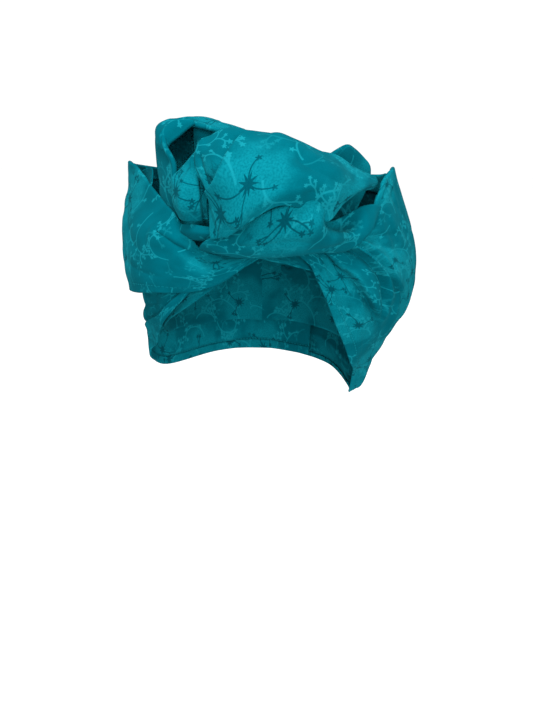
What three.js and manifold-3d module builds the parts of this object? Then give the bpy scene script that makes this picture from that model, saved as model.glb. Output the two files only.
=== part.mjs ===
// Turban headwrap: one long cotton scarf wound round the crown and tied at the front.
// Millimetres, +Z up. The wearer looks along -Y, and +X is to the right as one faces the wrap.
// The origin is the top of the head, on the inside of the crown layer.
import * as THREE from 'three';
import { mergeVertices } from 'three/addons/utils/BufferGeometryUtils.js';
import Module from 'manifold-3d';

// Driving sizes
const headWidth = 154;
const headLength = 198;
const crownHeight = 98; // from the widest girth of the head up to its top
const neckTaper = 0.1; // how much narrower the head is one taper length below its girth
const taperLength = 100;
const rise = 100; // unit height of the wrap's tables
const loft = 50; // unit depth of the wrap's tables, measured out from the head's girth
const clothWall = 1.8; // doubled cotton
const headFit = 0.6; // room between the head and the first layer
const layerGap = 0.35; // room between two layers of cloth
const pleatDepth = 6;
const gatherDepth = 2.4;
const gathers = 13; // soft folds round the crown layer
const crownSteps = [40, 12]; // round the head and up it

const wasm = await Module();
wasm.setup();

// A point of the wrap: degrees round the head from the front, shares of loft and of rise
function place(turn, out, up) {
  const angle = THREE.MathUtils.degToRad(turn);
  const x = (headWidth / 2 + out * loft) * Math.sin(angle);
  const y = -(headLength / 2 + out * loft) * Math.cos(angle);
  return new THREE.Vector3(x, y, up * rise);
}

// A point that lands on the crown layer, whose height follows from the head
function seat(turn, out) {
  const point = place(turn, out, 0);
  const across = point.x / (headWidth / 2);
  const ahead = point.y / (headLength / 2);
  const dome = Math.sqrt(Math.max(0, 1 - across * across - ahead * ahead));
  point.z = crownHeight * (dome - 1) + headFit + clothWall;
  return point;
}

// Smooth curve through a list of points, t from 0 to 1
function through(points, t) {
  const last = points.length - 1;
  const index = Math.min(Math.floor(t * last), last - 1);
  const f = t * last - index;
  const p1 = points[index];
  const p2 = points[index + 1];
  const p0 = points[index - 1] ?? p1.clone().multiplyScalar(2).sub(p2);
  const p3 = points[index + 2] ?? p2.clone().multiplyScalar(2).sub(p1);
  const point = new THREE.Vector3();
  for (const axis of ['x', 'y', 'z']) {
    const slope1 = (p2[axis] - p0[axis]) / 2;
    const slope2 = (p3[axis] - p1[axis]) / 2;
    const jump = p2[axis] - p1[axis];
    const square = 3 * jump - 2 * slope1 - slope2;
    const cube = slope1 + slope2 - 2 * jump;
    point[axis] = p1[axis] + f * (slope1 + f * (square + f * cube));
  }
  return point;
}

// Normals of a grid of points
function gridNormals(grid, closed) {
  const rows = grid.length;
  const columns = grid[0].length;
  return grid.map((line, i) => line.map((point, j) => {
    const before = closed ? grid[(i + rows - 1) % rows] : grid[Math.max(i - 1, 0)];
    const after = closed ? grid[(i + 1) % rows] : grid[Math.min(i + 1, rows - 1)];
    const along = after[j].clone().sub(before[j]);
    const across = line[Math.min(j + 1, columns - 1)].clone().sub(line[Math.max(j - 1, 0)]);
    const normal = along.cross(across);
    return normal.lengthSq() > 1e-9 ? normal.normalize() : new THREE.Vector3(0, 0, 1);
  }));
}

// Valleys pressed into a sheet, each along a straight line from one edge share to another
function pressPleats(grid, pleats) {
  const normals = gridNormals(grid, false);
  return grid.map((line, i) => line.map((point, j) => {
    const u = i / (grid.length - 1);
    const v = j / (line.length - 1);
    let depth = 0;
    for (const [start, end, from, to, share, width] of pleats) {
      const f = (u - start) / (end - start);
      if (f <= 0 || f >= 1) {
        continue;
      }
      const off = (v - THREE.MathUtils.lerp(from, to, f)) / width;
      depth += share * Math.sin(Math.PI * Math.sqrt(f)) * Math.exp(-off * off);
    }
    return point.clone().addScaledVector(normals[i][j], depth * pleatDepth);
  }));
}

// The middle surface of a sheet: sections along it, named edges across it
function middleOf(sections, stepsAlong, stepsAcross, pleats = []) {
  const grid = [];
  for (let i = 0; i <= stepsAlong; i += 1) {
    const edges = sections[0].map((_, edge) => through(sections.map((row) => row[edge]), i / stepsAlong));
    const line = [];
    for (let j = 0; j <= stepsAcross; j += 1) {
      line.push(through(edges, j / stepsAcross));
    }
    grid.push(line);
  }
  return pleats.length ? pressPleats(grid, pleats) : grid;
}

// One more row beyond each side of an open grid, so that a clearance reaches past the hem
function widened(grid, reach) {
  const beyond = (edge, inner) => edge.clone().add(edge.clone().sub(inner).setLength(reach));
  const lines = grid.map((line) => [
    beyond(line[0], line[1]),
    ...line,
    beyond(line[line.length - 1], line[line.length - 2]),
  ]);
  const first = lines[0].map((point, j) => beyond(point, lines[1][j]));
  const final = lines[lines.length - 1].map((point, j) => beyond(point, lines[lines.length - 2][j]));
  return [first, ...lines, final];
}

// A closed wall of even thickness round a middle surface
function wallOf(grid, thickness, closed = false) {
  const normals = gridNormals(grid, closed);
  const rows = grid.length;
  const columns = grid[0].length;
  const positions = [];
  for (const side of [0.5, -0.5]) {
    grid.forEach((line, i) => line.forEach((point, j) => {
      positions.push(...point.clone().addScaledVector(normals[i][j], side * thickness));
    }));
  }
  const at = (side, i, j) => side * rows * columns + (i % rows) * columns + j;
  const faces = [];
  const quad = (a, b, c, d) => faces.push([a, b, c], [a, c, d]);
  const spans = closed ? rows : rows - 1;
  for (let i = 0; i < spans; i += 1) {
    for (let j = 0; j < columns - 1; j += 1) {
      quad(at(0, i, j), at(0, i + 1, j), at(0, i + 1, j + 1), at(0, i, j + 1));
      quad(at(1, i, j), at(1, i, j + 1), at(1, i + 1, j + 1), at(1, i + 1, j));
    }
    quad(at(0, i, 0), at(1, i, 0), at(1, i + 1, 0), at(0, i + 1, 0));
    if (!closed) {
      const end = columns - 1;
      quad(at(0, i, end), at(0, i + 1, end), at(1, i + 1, end), at(1, i, end));
    }
  }
  if (!closed) {
    for (let j = 0; j < columns - 1; j += 1) {
      quad(at(0, 0, j), at(0, 0, j + 1), at(1, 0, j + 1), at(1, 0, j));
      const end = rows - 1;
      quad(at(0, end, j), at(1, end, j), at(1, end, j + 1), at(0, end, j + 1));
    }
  }
  return solidOf(positions, faces);
}

// Vertices and triangles made one solid, turned the right way out
function solidOf(positions, faces) {
  const geometry = new THREE.BufferGeometry();
  geometry.setAttribute('position', new THREE.Float32BufferAttribute(positions, 3));
  geometry.setIndex(faces.flat());
  const merged = mergeVertices(geometry, 1e-4);
  const corners = merged.attributes.position.array;
  const kept = [];
  let volume = 0;
  for (let k = 0; k < merged.index.count; k += 3) {
    const face = [0, 1, 2].map((n) => merged.index.array[k + n]);
    if (new Set(face).size === 3) {
      const [a, b, c] = face.map((n) => new THREE.Vector3().fromArray(corners, 3 * n));
      volume += a.dot(b.cross(c));
      kept.push(face);
    }
  }
  const turned = volume < 0 ? kept.map(([a, b, c]) => [a, c, b]) : kept;
  return new wasm.Manifold(new wasm.Mesh({
    numProp: 3,
    vertProperties: new Float32Array(corners),
    triVerts: new Uint32Array(turned.flat()),
  }));
}

// The largest body that is left of a solid once the clearances of its neighbours are cut away
function trimmed(solid, clearances) {
  const cut = clearances.reduce((rest, clearance) => rest.subtract(clearance), solid);
  return cut.decompose().sort((one, other) => other.volume() - one.volume())[0];
}

// Crown layer: front hem height for each turn round the head, as shares of rise
const crownHem = [
  // turn, hem
  [-180, -1.7],
  [-135, -1.62],
  [-90, -1.4],
  [-64, -1.13],
  [-55, -1.03],
  [-39, -0.865],
  [-22, -0.68],
  [-9, -0.56],
  [0, -0.5],
  [14, -0.54],
  [28, -0.6],
  [40, -0.92],
  [52, -1.2],
  [90, -1.55],
  [135, -1.65],
  [180, -1.7],
];

function crownHemAt(turn) {
  const next = Math.max(1, crownHem.findIndex(([stop]) => stop >= turn));
  const [from, low] = crownHem[next - 1];
  const [to, high] = crownHem[next];
  return THREE.MathUtils.lerp(low, high, (turn - from) / (to - from));
}

// The crown layer follows the head, with soft gathers that grow from the brow to the nape
function crownMiddle(stepsAround, stepsUp) {
  const stand = headFit + clothWall / 2;
  const grid = [];
  for (let i = 0; i < stepsAround; i += 1) {
    const turn = -180 + 360 * i / stepsAround;
    const angle = THREE.MathUtils.degToRad(turn);
    const hem = crownHemAt(turn) * rise;
    const back = (1 - Math.cos(angle)) / 2;
    const line = [];
    for (let j = 0; j <= stepsUp; j += 1) {
      const v = j / stepsUp;
      const startLift = Math.min(0, (hem + crownHeight) / crownHeight);
      const startArc = Math.asin(Math.max(0, (hem + crownHeight) / crownHeight));
      const arc = THREE.MathUtils.lerp(startLift || startArc, Math.PI / 2, v);
      const below = Math.min(0, arc) * crownHeight;
      const share = arc > 0 ? Math.cos(arc) : 1 - neckTaper * (below / taperLength) ** 2;
      const up = arc > 0 ? crownHeight * (Math.sin(arc) - 1) : below - crownHeight;
      const gather = gatherDepth * back * (1 - v) * v * 2 * (1 + Math.cos(gathers * angle));
      const reach = stand + gather;
      const x = (headWidth / 2 * share + reach * Math.cos(Math.max(0, arc))) * Math.sin(angle);
      const y = -(headLength / 2 * share + reach * Math.cos(Math.max(0, arc))) * Math.cos(angle);
      line.push(new THREE.Vector3(x, y, up + reach * Math.sin(Math.max(0, arc))));
    }
    grid.push(line);
  }
  return grid;
}

// Each row is a section of a run of cloth, each entry a named edge: [turn, out, up],
// or [turn, out] where the cloth lands on the crown layer
function sectionsOf(rows) {
  return rows.map((row) => row.map((edge) => (edge.length === 2 ? seat(...edge) : place(...edge))));
}

const runs = {
  // Upper fold of the knot, left to right
  knot_upper_fold: {
    steps: [16, 14],
    rows: [
      // lower edge, front, brow, top, back, seat
      [
        [-16, 0.4, -0.29], [-17, 0.34, -0.08], [-25, 0.14, 0.08],
        [-25, -0.06, 0.2], [-24, -0.4, 0.14], [-24, -0.9],
      ],
      [
        [-9, 0.49, -0.25], [-8, 0.6, -0.12], [-10, 0.48, 0.08],
        [-14, -0.2, 0.245], [-14, -0.7, 0.16], [-14, -1.1],
      ],
      [
        [-2.3, 0.58, -0.156], [-1, 0.66, -0.04], [-1, 0.5, 0.12],
        [0, -0.24, 0.23], [0, -0.84, 0.13], [0, -1.2],
      ],
      [
        [6, 0.65, -0.07], [7, 0.68, 0.01], [8, 0.48, 0.14],
        [10, -0.24, 0.225], [10, -0.88, 0.11], [10, -1.2],
      ],
      [
        [14, 0.62, -0.06], [15, 0.64, 0.005], [17, 0.44, 0.105],
        [20, -0.22, 0.185], [22, -0.84, 0.08], [22, -1.15],
      ],
      [
        [22, 0.46, -0.1], [24, 0.52, -0.03], [27, 0.34, 0.06],
        [31, -0.2, 0.12], [34, -0.76, 0.03], [36, -1],
      ],
      [
        [34, 0.25, -0.17], [34, 0.34, -0.09], [37, 0.2, 0.01],
        [40, -0.16, 0.09], [44, -0.68, -0.02], [46, -0.9],
      ],
      [
        [45, 0.2, -0.13], [46, 0.26, -0.09], [48, 0.16, -0.03],
        [50, -0.06, 0], [54, -0.5, -0.1], [56, -0.7],
      ],
      [
        [55, 0.2, -0.12], [57, 0.22, -0.095], [59, 0.18, -0.07],
        [62, 0.08, -0.08], [66, -0.3, -0.18], [68, -0.55],
      ],
    ],
  },
  // Lower fold of the knot, rolled under to the forehead, with the strap it ends in on the right
  knot_lower_fold: {
    steps: [20, 10],
    rows: [
      // under, low, belly, high
      [[-27, 0.06, -0.43], [-25, 0.14, -0.4], [-23, 0.18, -0.37], [-20, 0.2, -0.335]],
      [[-17, 0.06, -0.44], [-16, 0.22, -0.395], [-15, 0.3, -0.34], [-13, 0.3, -0.285]],
      [[-9, 0, -0.45], [-8, 0.22, -0.415], [-7, 0.38, -0.33], [-5, 0.38, -0.22]],
      [[-2, -0.08, -0.435], [-1.5, 0.2, -0.42], [0, 0.46, -0.3], [2, 0.5, -0.14]],
      [[5, -0.06, -0.43], [6, 0.28, -0.41], [8, 0.55, -0.27], [10, 0.56, -0.09]],
      [[13, -0.04, -0.43], [14, 0.34, -0.395], [16, 0.57, -0.26], [18, 0.54, -0.09]],
      [[21, 0, -0.43], [22, 0.35, -0.395], [24, 0.5, -0.29], [25, 0.42, -0.17]],
      [[27, 0.04, -0.435], [29, 0.32, -0.41], [32, 0.4, -0.32], [34, 0.28, -0.22]],
      [[31, 0.08, -0.435], [34, 0.3, -0.42], [40, 0.37, -0.32], [43, 0.26, -0.2]],
      [[35, 0.22, -0.43], [38, 0.32, -0.41], [46, 0.37, -0.325], [50, 0.3, -0.205]],
      [[37, 0.28, -0.425], [40, 0.31, -0.4], [47.5, 0.34, -0.335], [54.6, 0.32, -0.227]],
    ],
  },
  // Left wing: from the middle of the forehead round the left side to the back
  left_wing: {
    steps: [28, 10],
    pleats: [
      // start and end along, from and to across, depth share, width
      [0.22, 0.56, 0.94, 0.62, -0.5, 0.08],
    ],
    rows: [
      // hem, belly, shoulder, rim
      [[3, -0.14, -0.47], [3, -0.13, -0.455], [3, -0.13, -0.445], [3, -0.14, -0.43]],
      [[-2, -0.15, -0.473], [-2, -0.13, -0.465], [-2, -0.13, -0.455], [-2, -0.13, -0.445]],
      [[-9, -0.08, -0.54], [-9.5, -0.07, -0.515], [-10, -0.08, -0.49], [-11, -0.12, -0.467]],
      [[-20, 0.03, -0.634], [-20, 0.04, -0.58], [-20.5, 0.01, -0.52], [-21.5, -0.06, -0.473]],
      [[-30, 0.14, -0.69], [-30, 0.15, -0.6], [-29.5, 0.1, -0.51], [-29, -0.01, -0.44]],
      [[-38, 0.22, -0.715], [-38, 0.25, -0.6], [-36, 0.19, -0.46], [-33.5, 0.06, -0.35]],
      [[-46, 0.35, -0.735], [-47, 0.38, -0.6], [-45, 0.3, -0.42], [-40, 0.08, -0.255]],
      [[-58, 0.42, -0.8], [-60, 0.46, -0.62], [-57, 0.37, -0.41], [-50, 0.07, -0.195]],
      [[-72, 0.45, -0.88], [-74, 0.49, -0.68], [-72, 0.41, -0.39], [-62, 0.09, -0.125]],
      [[-84, 0.46, -0.96], [-86, 0.52, -0.72], [-84, 0.45, -0.36], [-74, 0.2, -0.05]],
      [[-92, 0.47, -1], [-94, 0.54, -0.74], [-93, 0.46, -0.36], [-84, 0.31, -0.035]],
      [[-102, 0.48, -1.04], [-104, 0.54, -0.78], [-104, 0.46, -0.42], [-97, 0.36, -0.09]],
      [[-120, 0.46, -1.12], [-122, 0.52, -0.84], [-122, 0.38, -0.48], [-115, 0.12, -0.17]],
      [[-145, 0.36, -1.2], [-146, 0.42, -0.9], [-146, 0.24, -0.5], [-142, -0.22, -0.25]],
      [[-172, 0.26, -1.26], [-172, 0.32, -0.95], [-172, 0.12, -0.5], [-172, -0.4, -0.27]],
      [[-196, 0.24, -1.28], [-196, 0.3, -0.98], [-196, 0.1, -0.52], [-196, -0.42, -0.28]],
    ],
  },
  // Right panel: pleated, from under the knot over the right ear to the nape
  right_panel: {
    steps: [26, 26],
    pleats: [
      // start and end along, from and to across, depth share, width
      [0, 0.5, 0.2, 0.27, -0.9, 0.03],
      [0, 0.5, 0.4, 0.43, -1, 0.03],
      [0, 0.56, 0.57, 0.58, -0.9, 0.03],
      [0, 0.45, 0.72, 0.73, -0.6, 0.03],
      [0.34, 0.66, 0.5, 0.5, -0.6, 0.03],
      [0.5, 1, 0.7, 0.66, -0.6, 0.05],
      [0.55, 1, 0.35, 0.4, -0.6, 0.05],
    ],
    rows: [
      // hem, lower side, full side, upper side, rim
      [[19, -0.1, -0.46], [24, 0, -0.43], [30, 0.1, -0.39], [38, 0.14, -0.33], [47, 0.18, -0.25]],
      [[24.9, -0.03, -0.533], [29, 0.08, -0.5], [35, 0.18, -0.45], [43, 0.23, -0.37], [52, 0.23, -0.235]],
      [[27, 0.036, -0.606], [33, 0.16, -0.57], [41, 0.28, -0.5], [50, 0.34, -0.39], [58, 0.28, -0.1]],
      [[31, 0.11, -0.75], [40, 0.3, -0.7], [51, 0.44, -0.6], [61, 0.48, -0.44], [66, 0.31, -0.055]],
      [[36.5, 0.165, -0.95], [50, 0.4, -0.9], [62, 0.57, -0.76], [73, 0.63, -0.52], [73, 0.32, -0.045]],
      [[44, 0.175, -1.16], [60, 0.38, -1.1], [74, 0.68, -0.97], [82, 0.74, -0.62], [81, 0.33, -0.07]],
      [[50, 0.17, -1.33], [68, 0.27, -1.33], [83, 0.72, -1.13], [90, 0.84, -0.74], [89, 0.38, -0.11]],
      [[70, 0.02, -1.58], [85, 0.22, -1.6], [93, 0.68, -1.18], [98, 0.84, -0.77], [98, 0.42, -0.16]],
      [[79, -0.03, -1.86], [95, 0.2, -1.85], [103, 0.5, -1.24], [107, 0.72, -0.78], [107, 0.34, -0.2]],
      [[100, 0.06, -2], [112, 0.24, -1.86], [118, 0.48, -1.28], [121, 0.58, -0.76], [122, 0.12, -0.22]],
      [[130, 0.2, -2.05], [138, 0.32, -1.8], [141, 0.46, -1.3], [143, 0.5, -0.7], [144, -0.16, -0.24]],
      [[162, 0.26, -2.08], [164, 0.36, -1.82], [166, 0.46, -1.3], [167, 0.46, -0.68], [168, -0.28, -0.24]],
      [[186, 0.3, -2.08], [186, 0.38, -1.82], [186, 0.46, -1.3], [186, 0.44, -0.68], [186, -0.28, -0.235]],
      [[206, 0.4, -2.06], [205, 0.48, -1.8], [204, 0.54, -1.28], [204, 0.52, -0.68], [203, -0.16, -0.23]],
    ],
  },
  // Lower band: from under the wing over the left ear to the nape
  left_band: {
    steps: [20, 6],
    rows: [
      // hem, middle, top
      [[-33, 0.08, -0.705], [-33, 0.09, -0.67], [-33, 0.1, -0.63]],
      [[-41.5, 0.19, -0.86], [-41.5, 0.2, -0.79], [-41.5, 0.17, -0.7]],
      [[-49, 0.23, -1], [-49, 0.24, -0.9], [-49, 0.2, -0.77]],
      [[-63, 0.17, -1.2], [-63, 0.26, -1.02], [-63, 0.25, -0.84]],
      [[-77, 0.16, -1.38], [-77, 0.29, -1.18], [-77, 0.28, -0.93]],
      [[-90, 0.34, -1.55], [-90, 0.31, -1.33], [-90, 0.27, -0.97]],
      [[-104, 0.5, -1.79], [-104, 0.4, -1.45], [-104, 0.27, -1.02]],
      [[-118, 0.48, -1.98], [-118, 0.4, -1.55], [-118, 0.28, -1.07]],
      [[-150, 0.28, -2.04], [-150, 0.3, -1.6], [-150, 0.2, -1.1]],
      [[-180, 0.14, -2.04], [-180, 0.2, -1.6], [-180, 0.12, -1.12]],
      [[-215, 0.1, -2.02], [-215, 0.14, -1.6], [-215, 0.08, -1.15]],
    ],
  },
  // Tall loop at the upper left, open towards the front
  tall_loop: {
    steps: [18, 12],
    rows: [
      // rim, outer, behind, seat
      [[-37, 0.03, -0.28], [-52, -0.04, -0.26], [-66, -0.3, -0.22], [-72, -0.62]],
      [[-38.6, 0.07, -0.18], [-57, -0.01, -0.16], [-72, -0.28, -0.12], [-78, -0.72]],
      [[-40.5, 0.07, -0.08], [-60.5, -0.02, -0.06], [-76, -0.26, -0.03], [-84, -0.8]],
      [[-41, 0.03, 0.04], [-62, -0.03, 0.06], [-80, -0.25, 0.06], [-88, -0.85]],
      [[-46, 0.05, 0.14], [-64, -0.06, 0.17], [-81, -0.3, 0.13], [-90, -0.88]],
      [[-50, -0.04, 0.23], [-66.5, -0.16, 0.235], [-82, -0.42, 0.18], [-90, -0.92]],
      [[-47, -0.3, 0.27], [-62, -0.48, 0.275], [-80, -0.72, 0.22], [-90, -1]],
      [[-38, -0.44, 0.252], [-55, -0.7, 0.272], [-70, -0.92, 0.22], [-80, -1.08]],
      [[-28, -0.48, 0.234], [-42, -0.84, 0.248], [-50, -1.06, 0.18], [-60, -1.2]],
      [[-16, -0.52, 0.2], [-18, -0.94, 0.212], [-22, -1.16, 0.12], [-30, -1.3]],
    ],
  },
  // Folded end tucked into the loop
  inner_tuck: {
    steps: [8, 6],
    rows: [
      // left edge, middle, right edge
      [[-34, -0.19, 0.12], [-32.6, -0.17, 0.13], [-30, -0.19, 0.12]],
      [[-38, -0.07, 0.05], [-31, -0.05, 0.06], [-26, -0.1, 0.07]],
      [[-40.5, 0.05, -0.02], [-32, 0.09, -0.01], [-26, 0.02, 0]],
      [[-42, 0.06, -0.09], [-32, 0.13, -0.08], [-25, 0.05, -0.08]],
      [[-41, 0.07, -0.17], [-31, 0.16, -0.17], [-25, 0.07, -0.16]],
      [[-39, 0.06, -0.255], [-30, 0.12, -0.25], [-25, 0.06, -0.22]],
    ],
  },
  // Short fold between the loop and the knot
  side_fold: {
    steps: [6, 5],
    rows: [
      // low, middle, high
      [[-34, 0.06, -0.37], [-35, 0.12, -0.33], [-35, 0.1, -0.29]],
      [[-27, 0.1, -0.365], [-28, 0.17, -0.315], [-28.6, 0.13, -0.27]],
      [[-19, 0.1, -0.35], [-19, 0.2, -0.3], [-19.7, 0.14, -0.27]],
      [[-12, 0.06, -0.34], [-12, 0.16, -0.29], [-12, 0.12, -0.26]],
    ],
  },
  // Layer that shows behind the left wing
  rear_layer: {
    steps: [6, 5],
    rows: [
      // seat, middle, top
      [[-92, -0.3], [-93, 0.1, -0.26], [-95, 0.26, -0.13]],
      [[-82, -0.32], [-84, 0.04, -0.23], [-87, 0.15, -0.1]],
      [[-72, -0.34], [-75, 0.01, -0.19], [-78, -0.02, -0.06]],
      [[-62, -0.36], [-65, 0.05, -0.22], [-69, 0, -0.12]],
    ],
  },
  // Ridge of cloth behind the knot on the right
  back_fold: {
    steps: [10, 8],
    rows: [
      // front seat, ridge, back seat
      [[56, -0.66], [60, -0.56, 0.02], [70, -0.8]],
      [[62, -0.6], [67, -0.46, 0.06], [84, -0.72]],
      [[68, -0.52], [76, -0.33, 0.088], [98, -0.62]],
      [[72, -0.44], [81, -0.22, 0.055], [104, -0.54]],
      [[76, -0.36], [85, -0.08, -0.01], [106, -0.46]],
      [[78, -0.3], [87, 0.02, -0.07], [106, -0.38]],
      [[80, -0.22], [86, 0.03, -0.16], [102, -0.26]],
    ],
  },
};

const teal = 0x007d8c;
const shades = {
  crown_layer: 0x00606e,
  tall_loop: 0x006e7c,
  inner_tuck: 0x00707e,
};

function clothMesh(name, solid) {
  const { vertProperties, triVerts } = solid.getMesh();
  const geometry = new THREE.BufferGeometry();
  geometry.setAttribute('position', new THREE.BufferAttribute(new Float32Array(vertProperties), 3));
  geometry.setIndex([...triVerts]);
  geometry.computeVertexNormals();
  const color = shades[name] ?? teal;
  const cloth = new THREE.MeshStandardMaterial({ color, roughness: 0.85, metalness: 0 });
  const mesh = new THREE.Mesh(geometry, cloth);
  mesh.name = name;
  return mesh;
}

const headwrap = new THREE.Group();
const crownGrid = crownMiddle(...crownSteps);
headwrap.add(clothMesh('crown_layer', wallOf(crownGrid, clothWall, true)));
const clearances = [wallOf(crownGrid, clothWall + 2 * layerGap, true)];

// Outer runs keep their whole shape, and what passes behind them is trimmed clear of them
for (const [name, { steps, rows, pleats }] of Object.entries(runs)) {
  const grid = middleOf(sectionsOf(rows), ...steps, pleats);
  const wall = wallOf(grid, clothWall);
  headwrap.add(clothMesh(name, trimmed(wall, clearances)));
  clearances.push(wallOf(widened(grid, layerGap), clothWall + 2 * layerGap).add(wall));
}

export default headwrap;
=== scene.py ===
# %% [markdown]
# # Turban headwrap
# One long cotton scarf, printed tone on tone, goes round the crown of the head and is tied into a
# big soft knot above the brow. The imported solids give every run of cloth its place. Here each run
# gets what they leave out: thin cloth with turned edges, fine creases, stitches and the print.

# %% Load the frame
import math

import bpy
import numpy as np
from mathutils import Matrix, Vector
from mathutils.bvhtree import BVHTree


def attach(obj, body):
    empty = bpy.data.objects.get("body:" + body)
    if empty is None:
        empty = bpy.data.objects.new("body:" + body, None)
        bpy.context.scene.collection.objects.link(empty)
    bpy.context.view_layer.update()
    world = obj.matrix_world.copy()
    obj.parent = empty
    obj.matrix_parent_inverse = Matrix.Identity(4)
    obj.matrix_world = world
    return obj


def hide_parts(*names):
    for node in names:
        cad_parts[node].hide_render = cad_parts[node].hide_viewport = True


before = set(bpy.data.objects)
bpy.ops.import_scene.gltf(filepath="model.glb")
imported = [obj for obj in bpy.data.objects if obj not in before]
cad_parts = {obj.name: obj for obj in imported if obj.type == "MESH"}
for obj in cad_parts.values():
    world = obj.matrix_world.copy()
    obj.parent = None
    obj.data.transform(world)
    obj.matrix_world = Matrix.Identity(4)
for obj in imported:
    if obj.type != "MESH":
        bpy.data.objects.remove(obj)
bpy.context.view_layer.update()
print("nodes:", ", ".join(sorted(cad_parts)))

# %% [markdown]
# ## The camera
# A photograph of a hat is taken from a little above the brow. The camera stands 42 cm from the top
# of the head and looks down by 27 degrees, with a lens about as wide as a phone's.

# %% Camera
CAMERA_PLACE = (0.0043, -0.4216, 0.0538)
CAMERA_TILT = math.radians(63)
SENSOR = 36
LENS = 28.354

bpy.ops.object.camera_add(location=CAMERA_PLACE, rotation=(CAMERA_TILT, 0, 0))
camera = bpy.context.object
camera.data.sensor_fit = "VERTICAL"
camera.data.sensor_height = SENSOR
camera.data.lens = LENS
bpy.context.scene.camera = camera
print("camera at", tuple(camera.location))

# %% [markdown]
# ## Where a point of the cloth lies
# The head is an egg, so a wrap is easiest to describe from it: degrees round the head from the
# front, how far out from the girth, and how high. A curve through a few chosen sections then gives
# every point between them, which is how a pattern cutter grades a shape.

# %% Sizes of the head and of the cloth
HEAD_WIDTH = 0.154
HEAD_LENGTH = 0.198
CROWN_HEIGHT = 0.098
RISE = 0.1
LOFT = 0.05
WALL = 0.0018
HEAD_FIT = 0.0006
CLOTH = 0.0008
FOLD_STEP = 0.0006
CURL_ANGLES = (180, 140, 105, 70, 35)
HEM_TURN = 6
HEM_COLUMN = HEM_TURN + len(CURL_ANGLES)
HEM_RADIUS = 0.00055
FOLD_RADIUS = 0.0009
RIM_RADIUS = 0.0011
HEAD_CENTRE = np.array([0, 0, -CROWN_HEIGHT])


def place(turn, out, up):
    """A point by degrees round the head, shares of loft outwards and shares of rise upwards."""
    angle = math.radians(turn)
    x = (HEAD_WIDTH / 2 + out * LOFT) * math.sin(angle)
    y = -(HEAD_LENGTH / 2 + out * LOFT) * math.cos(angle)
    return np.array([x, y, up * RISE])


def landed(turn, out):
    """A point where cloth comes down on the crown layer."""
    point = place(turn, out, 0)
    across, ahead = point[0] / (HEAD_WIDTH / 2), point[1] / (HEAD_LENGTH / 2)
    dome = math.sqrt(max(0, 1 - across * across - ahead * ahead))
    point[2] = CROWN_HEIGHT * (dome - 1) + HEAD_FIT + WALL
    return point


def section_points(rows):
    """A table of sections as points: three numbers float free, two land on the crown layer."""
    return np.array([[place(*e) if len(e) == 3 else landed(*e) for e in row] for row in rows])


def curve_shares(stops, steps):
    """How much each stop adds to each point of a smooth curve through all the stops."""
    shares = np.zeros((steps + 1, stops))
    for k, t in enumerate(np.linspace(0, stops - 1, steps + 1)):
        i = min(int(t), stops - 2)
        f = t - i
        weights = (-f / 2 + f ** 2 - f ** 3 / 2, 1 - 2.5 * f ** 2 + 1.5 * f ** 3,
                   f / 2 + 2 * f ** 2 - 1.5 * f ** 3, -f ** 2 / 2 + f ** 3 / 2)
        for stop, weight in zip(range(i - 1, i + 3), weights):
            if stop < 0:
                shares[k, 0] += 2 * weight
                shares[k, 1] -= weight
            elif stop >= stops:
                shares[k, -1] += 2 * weight
                shares[k, -2] -= weight
            else:
                shares[k, stop] += weight
    return shares


def middle_of(rows, steps_along, steps_across):
    """The middle of a run of cloth as a grid of points."""
    stops = section_points(rows)
    along = curve_shares(len(rows), steps_along)
    across = curve_shares(len(rows[0]), steps_across)
    return np.einsum("ui,vj,ijk->uvk", along, across, stops)


print("girth of the head:", round(math.pi * (HEAD_WIDTH + HEAD_LENGTH) / 2, 3), "m")

# %% [markdown]
# ## How cloth gets its folds
# Cloth shows things that a smooth surface doesn't: sharp valleys between pleats, soft ridges and
# dents, folds with a raised and a low side, and shallow ripples where it is pulled. Each crease is
# drawn as a line on the cloth, and the points near that line move in or out. Cloth simulation would
# make folds too, but not these ones, and sculpting by hand leaves nothing to read. A table of lines
# can be read and changed.

# %% Helpers for folds
def outward(grid):
    """Normals of a grid of points, turned away from the head."""
    along = np.gradient(grid, axis=0)
    across = np.gradient(grid, axis=1)
    normals = np.cross(along, across)
    lengths = np.linalg.norm(normals, axis=2, keepdims=True)
    normals = np.where(lengths > 1e-12, normals / np.maximum(lengths, 1e-12), (0, 0, 1))
    side = np.sign(np.mean(np.sum(normals * (grid - HEAD_CENTRE), axis=2)))
    return normals * side


def spans(grid, row=0, column=0, even=False):
    """Lengths along and across the cloth from a row and a column of it, or their means if even."""
    along = np.linalg.norm(np.diff(grid, axis=0), axis=2)
    across = np.linalg.norm(np.diff(grid, axis=1), axis=2)
    if even:
        along = along * 0 + along.mean(axis=1, keepdims=True)
        across = across * 0 + across.mean(axis=0, keepdims=True)
    u = np.pad(np.cumsum(along, axis=0), ((1, 0), (0, 0)))
    v = np.pad(np.cumsum(across, axis=1), ((0, 0), (1, 0)))
    return u - u[row], v - v[:, column:column + 1]


def at_shares(grid, shares):
    """Points of the grid at (along, across) shares, between its own points too."""
    places = np.clip(shares, 0, 1) * (grid.shape[0] - 1, grid.shape[1] - 1)
    low = np.minimum(places.astype(int), (grid.shape[0] - 2, grid.shape[1] - 2))
    f, g = (places - low).T[:, :, None]
    i, j = low.T
    return ((1 - f) * ((1 - g) * grid[i, j] + g * grid[i, j + 1])
            + f * ((1 - g) * grid[i + 1, j] + g * grid[i + 1, j + 1]))


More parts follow.
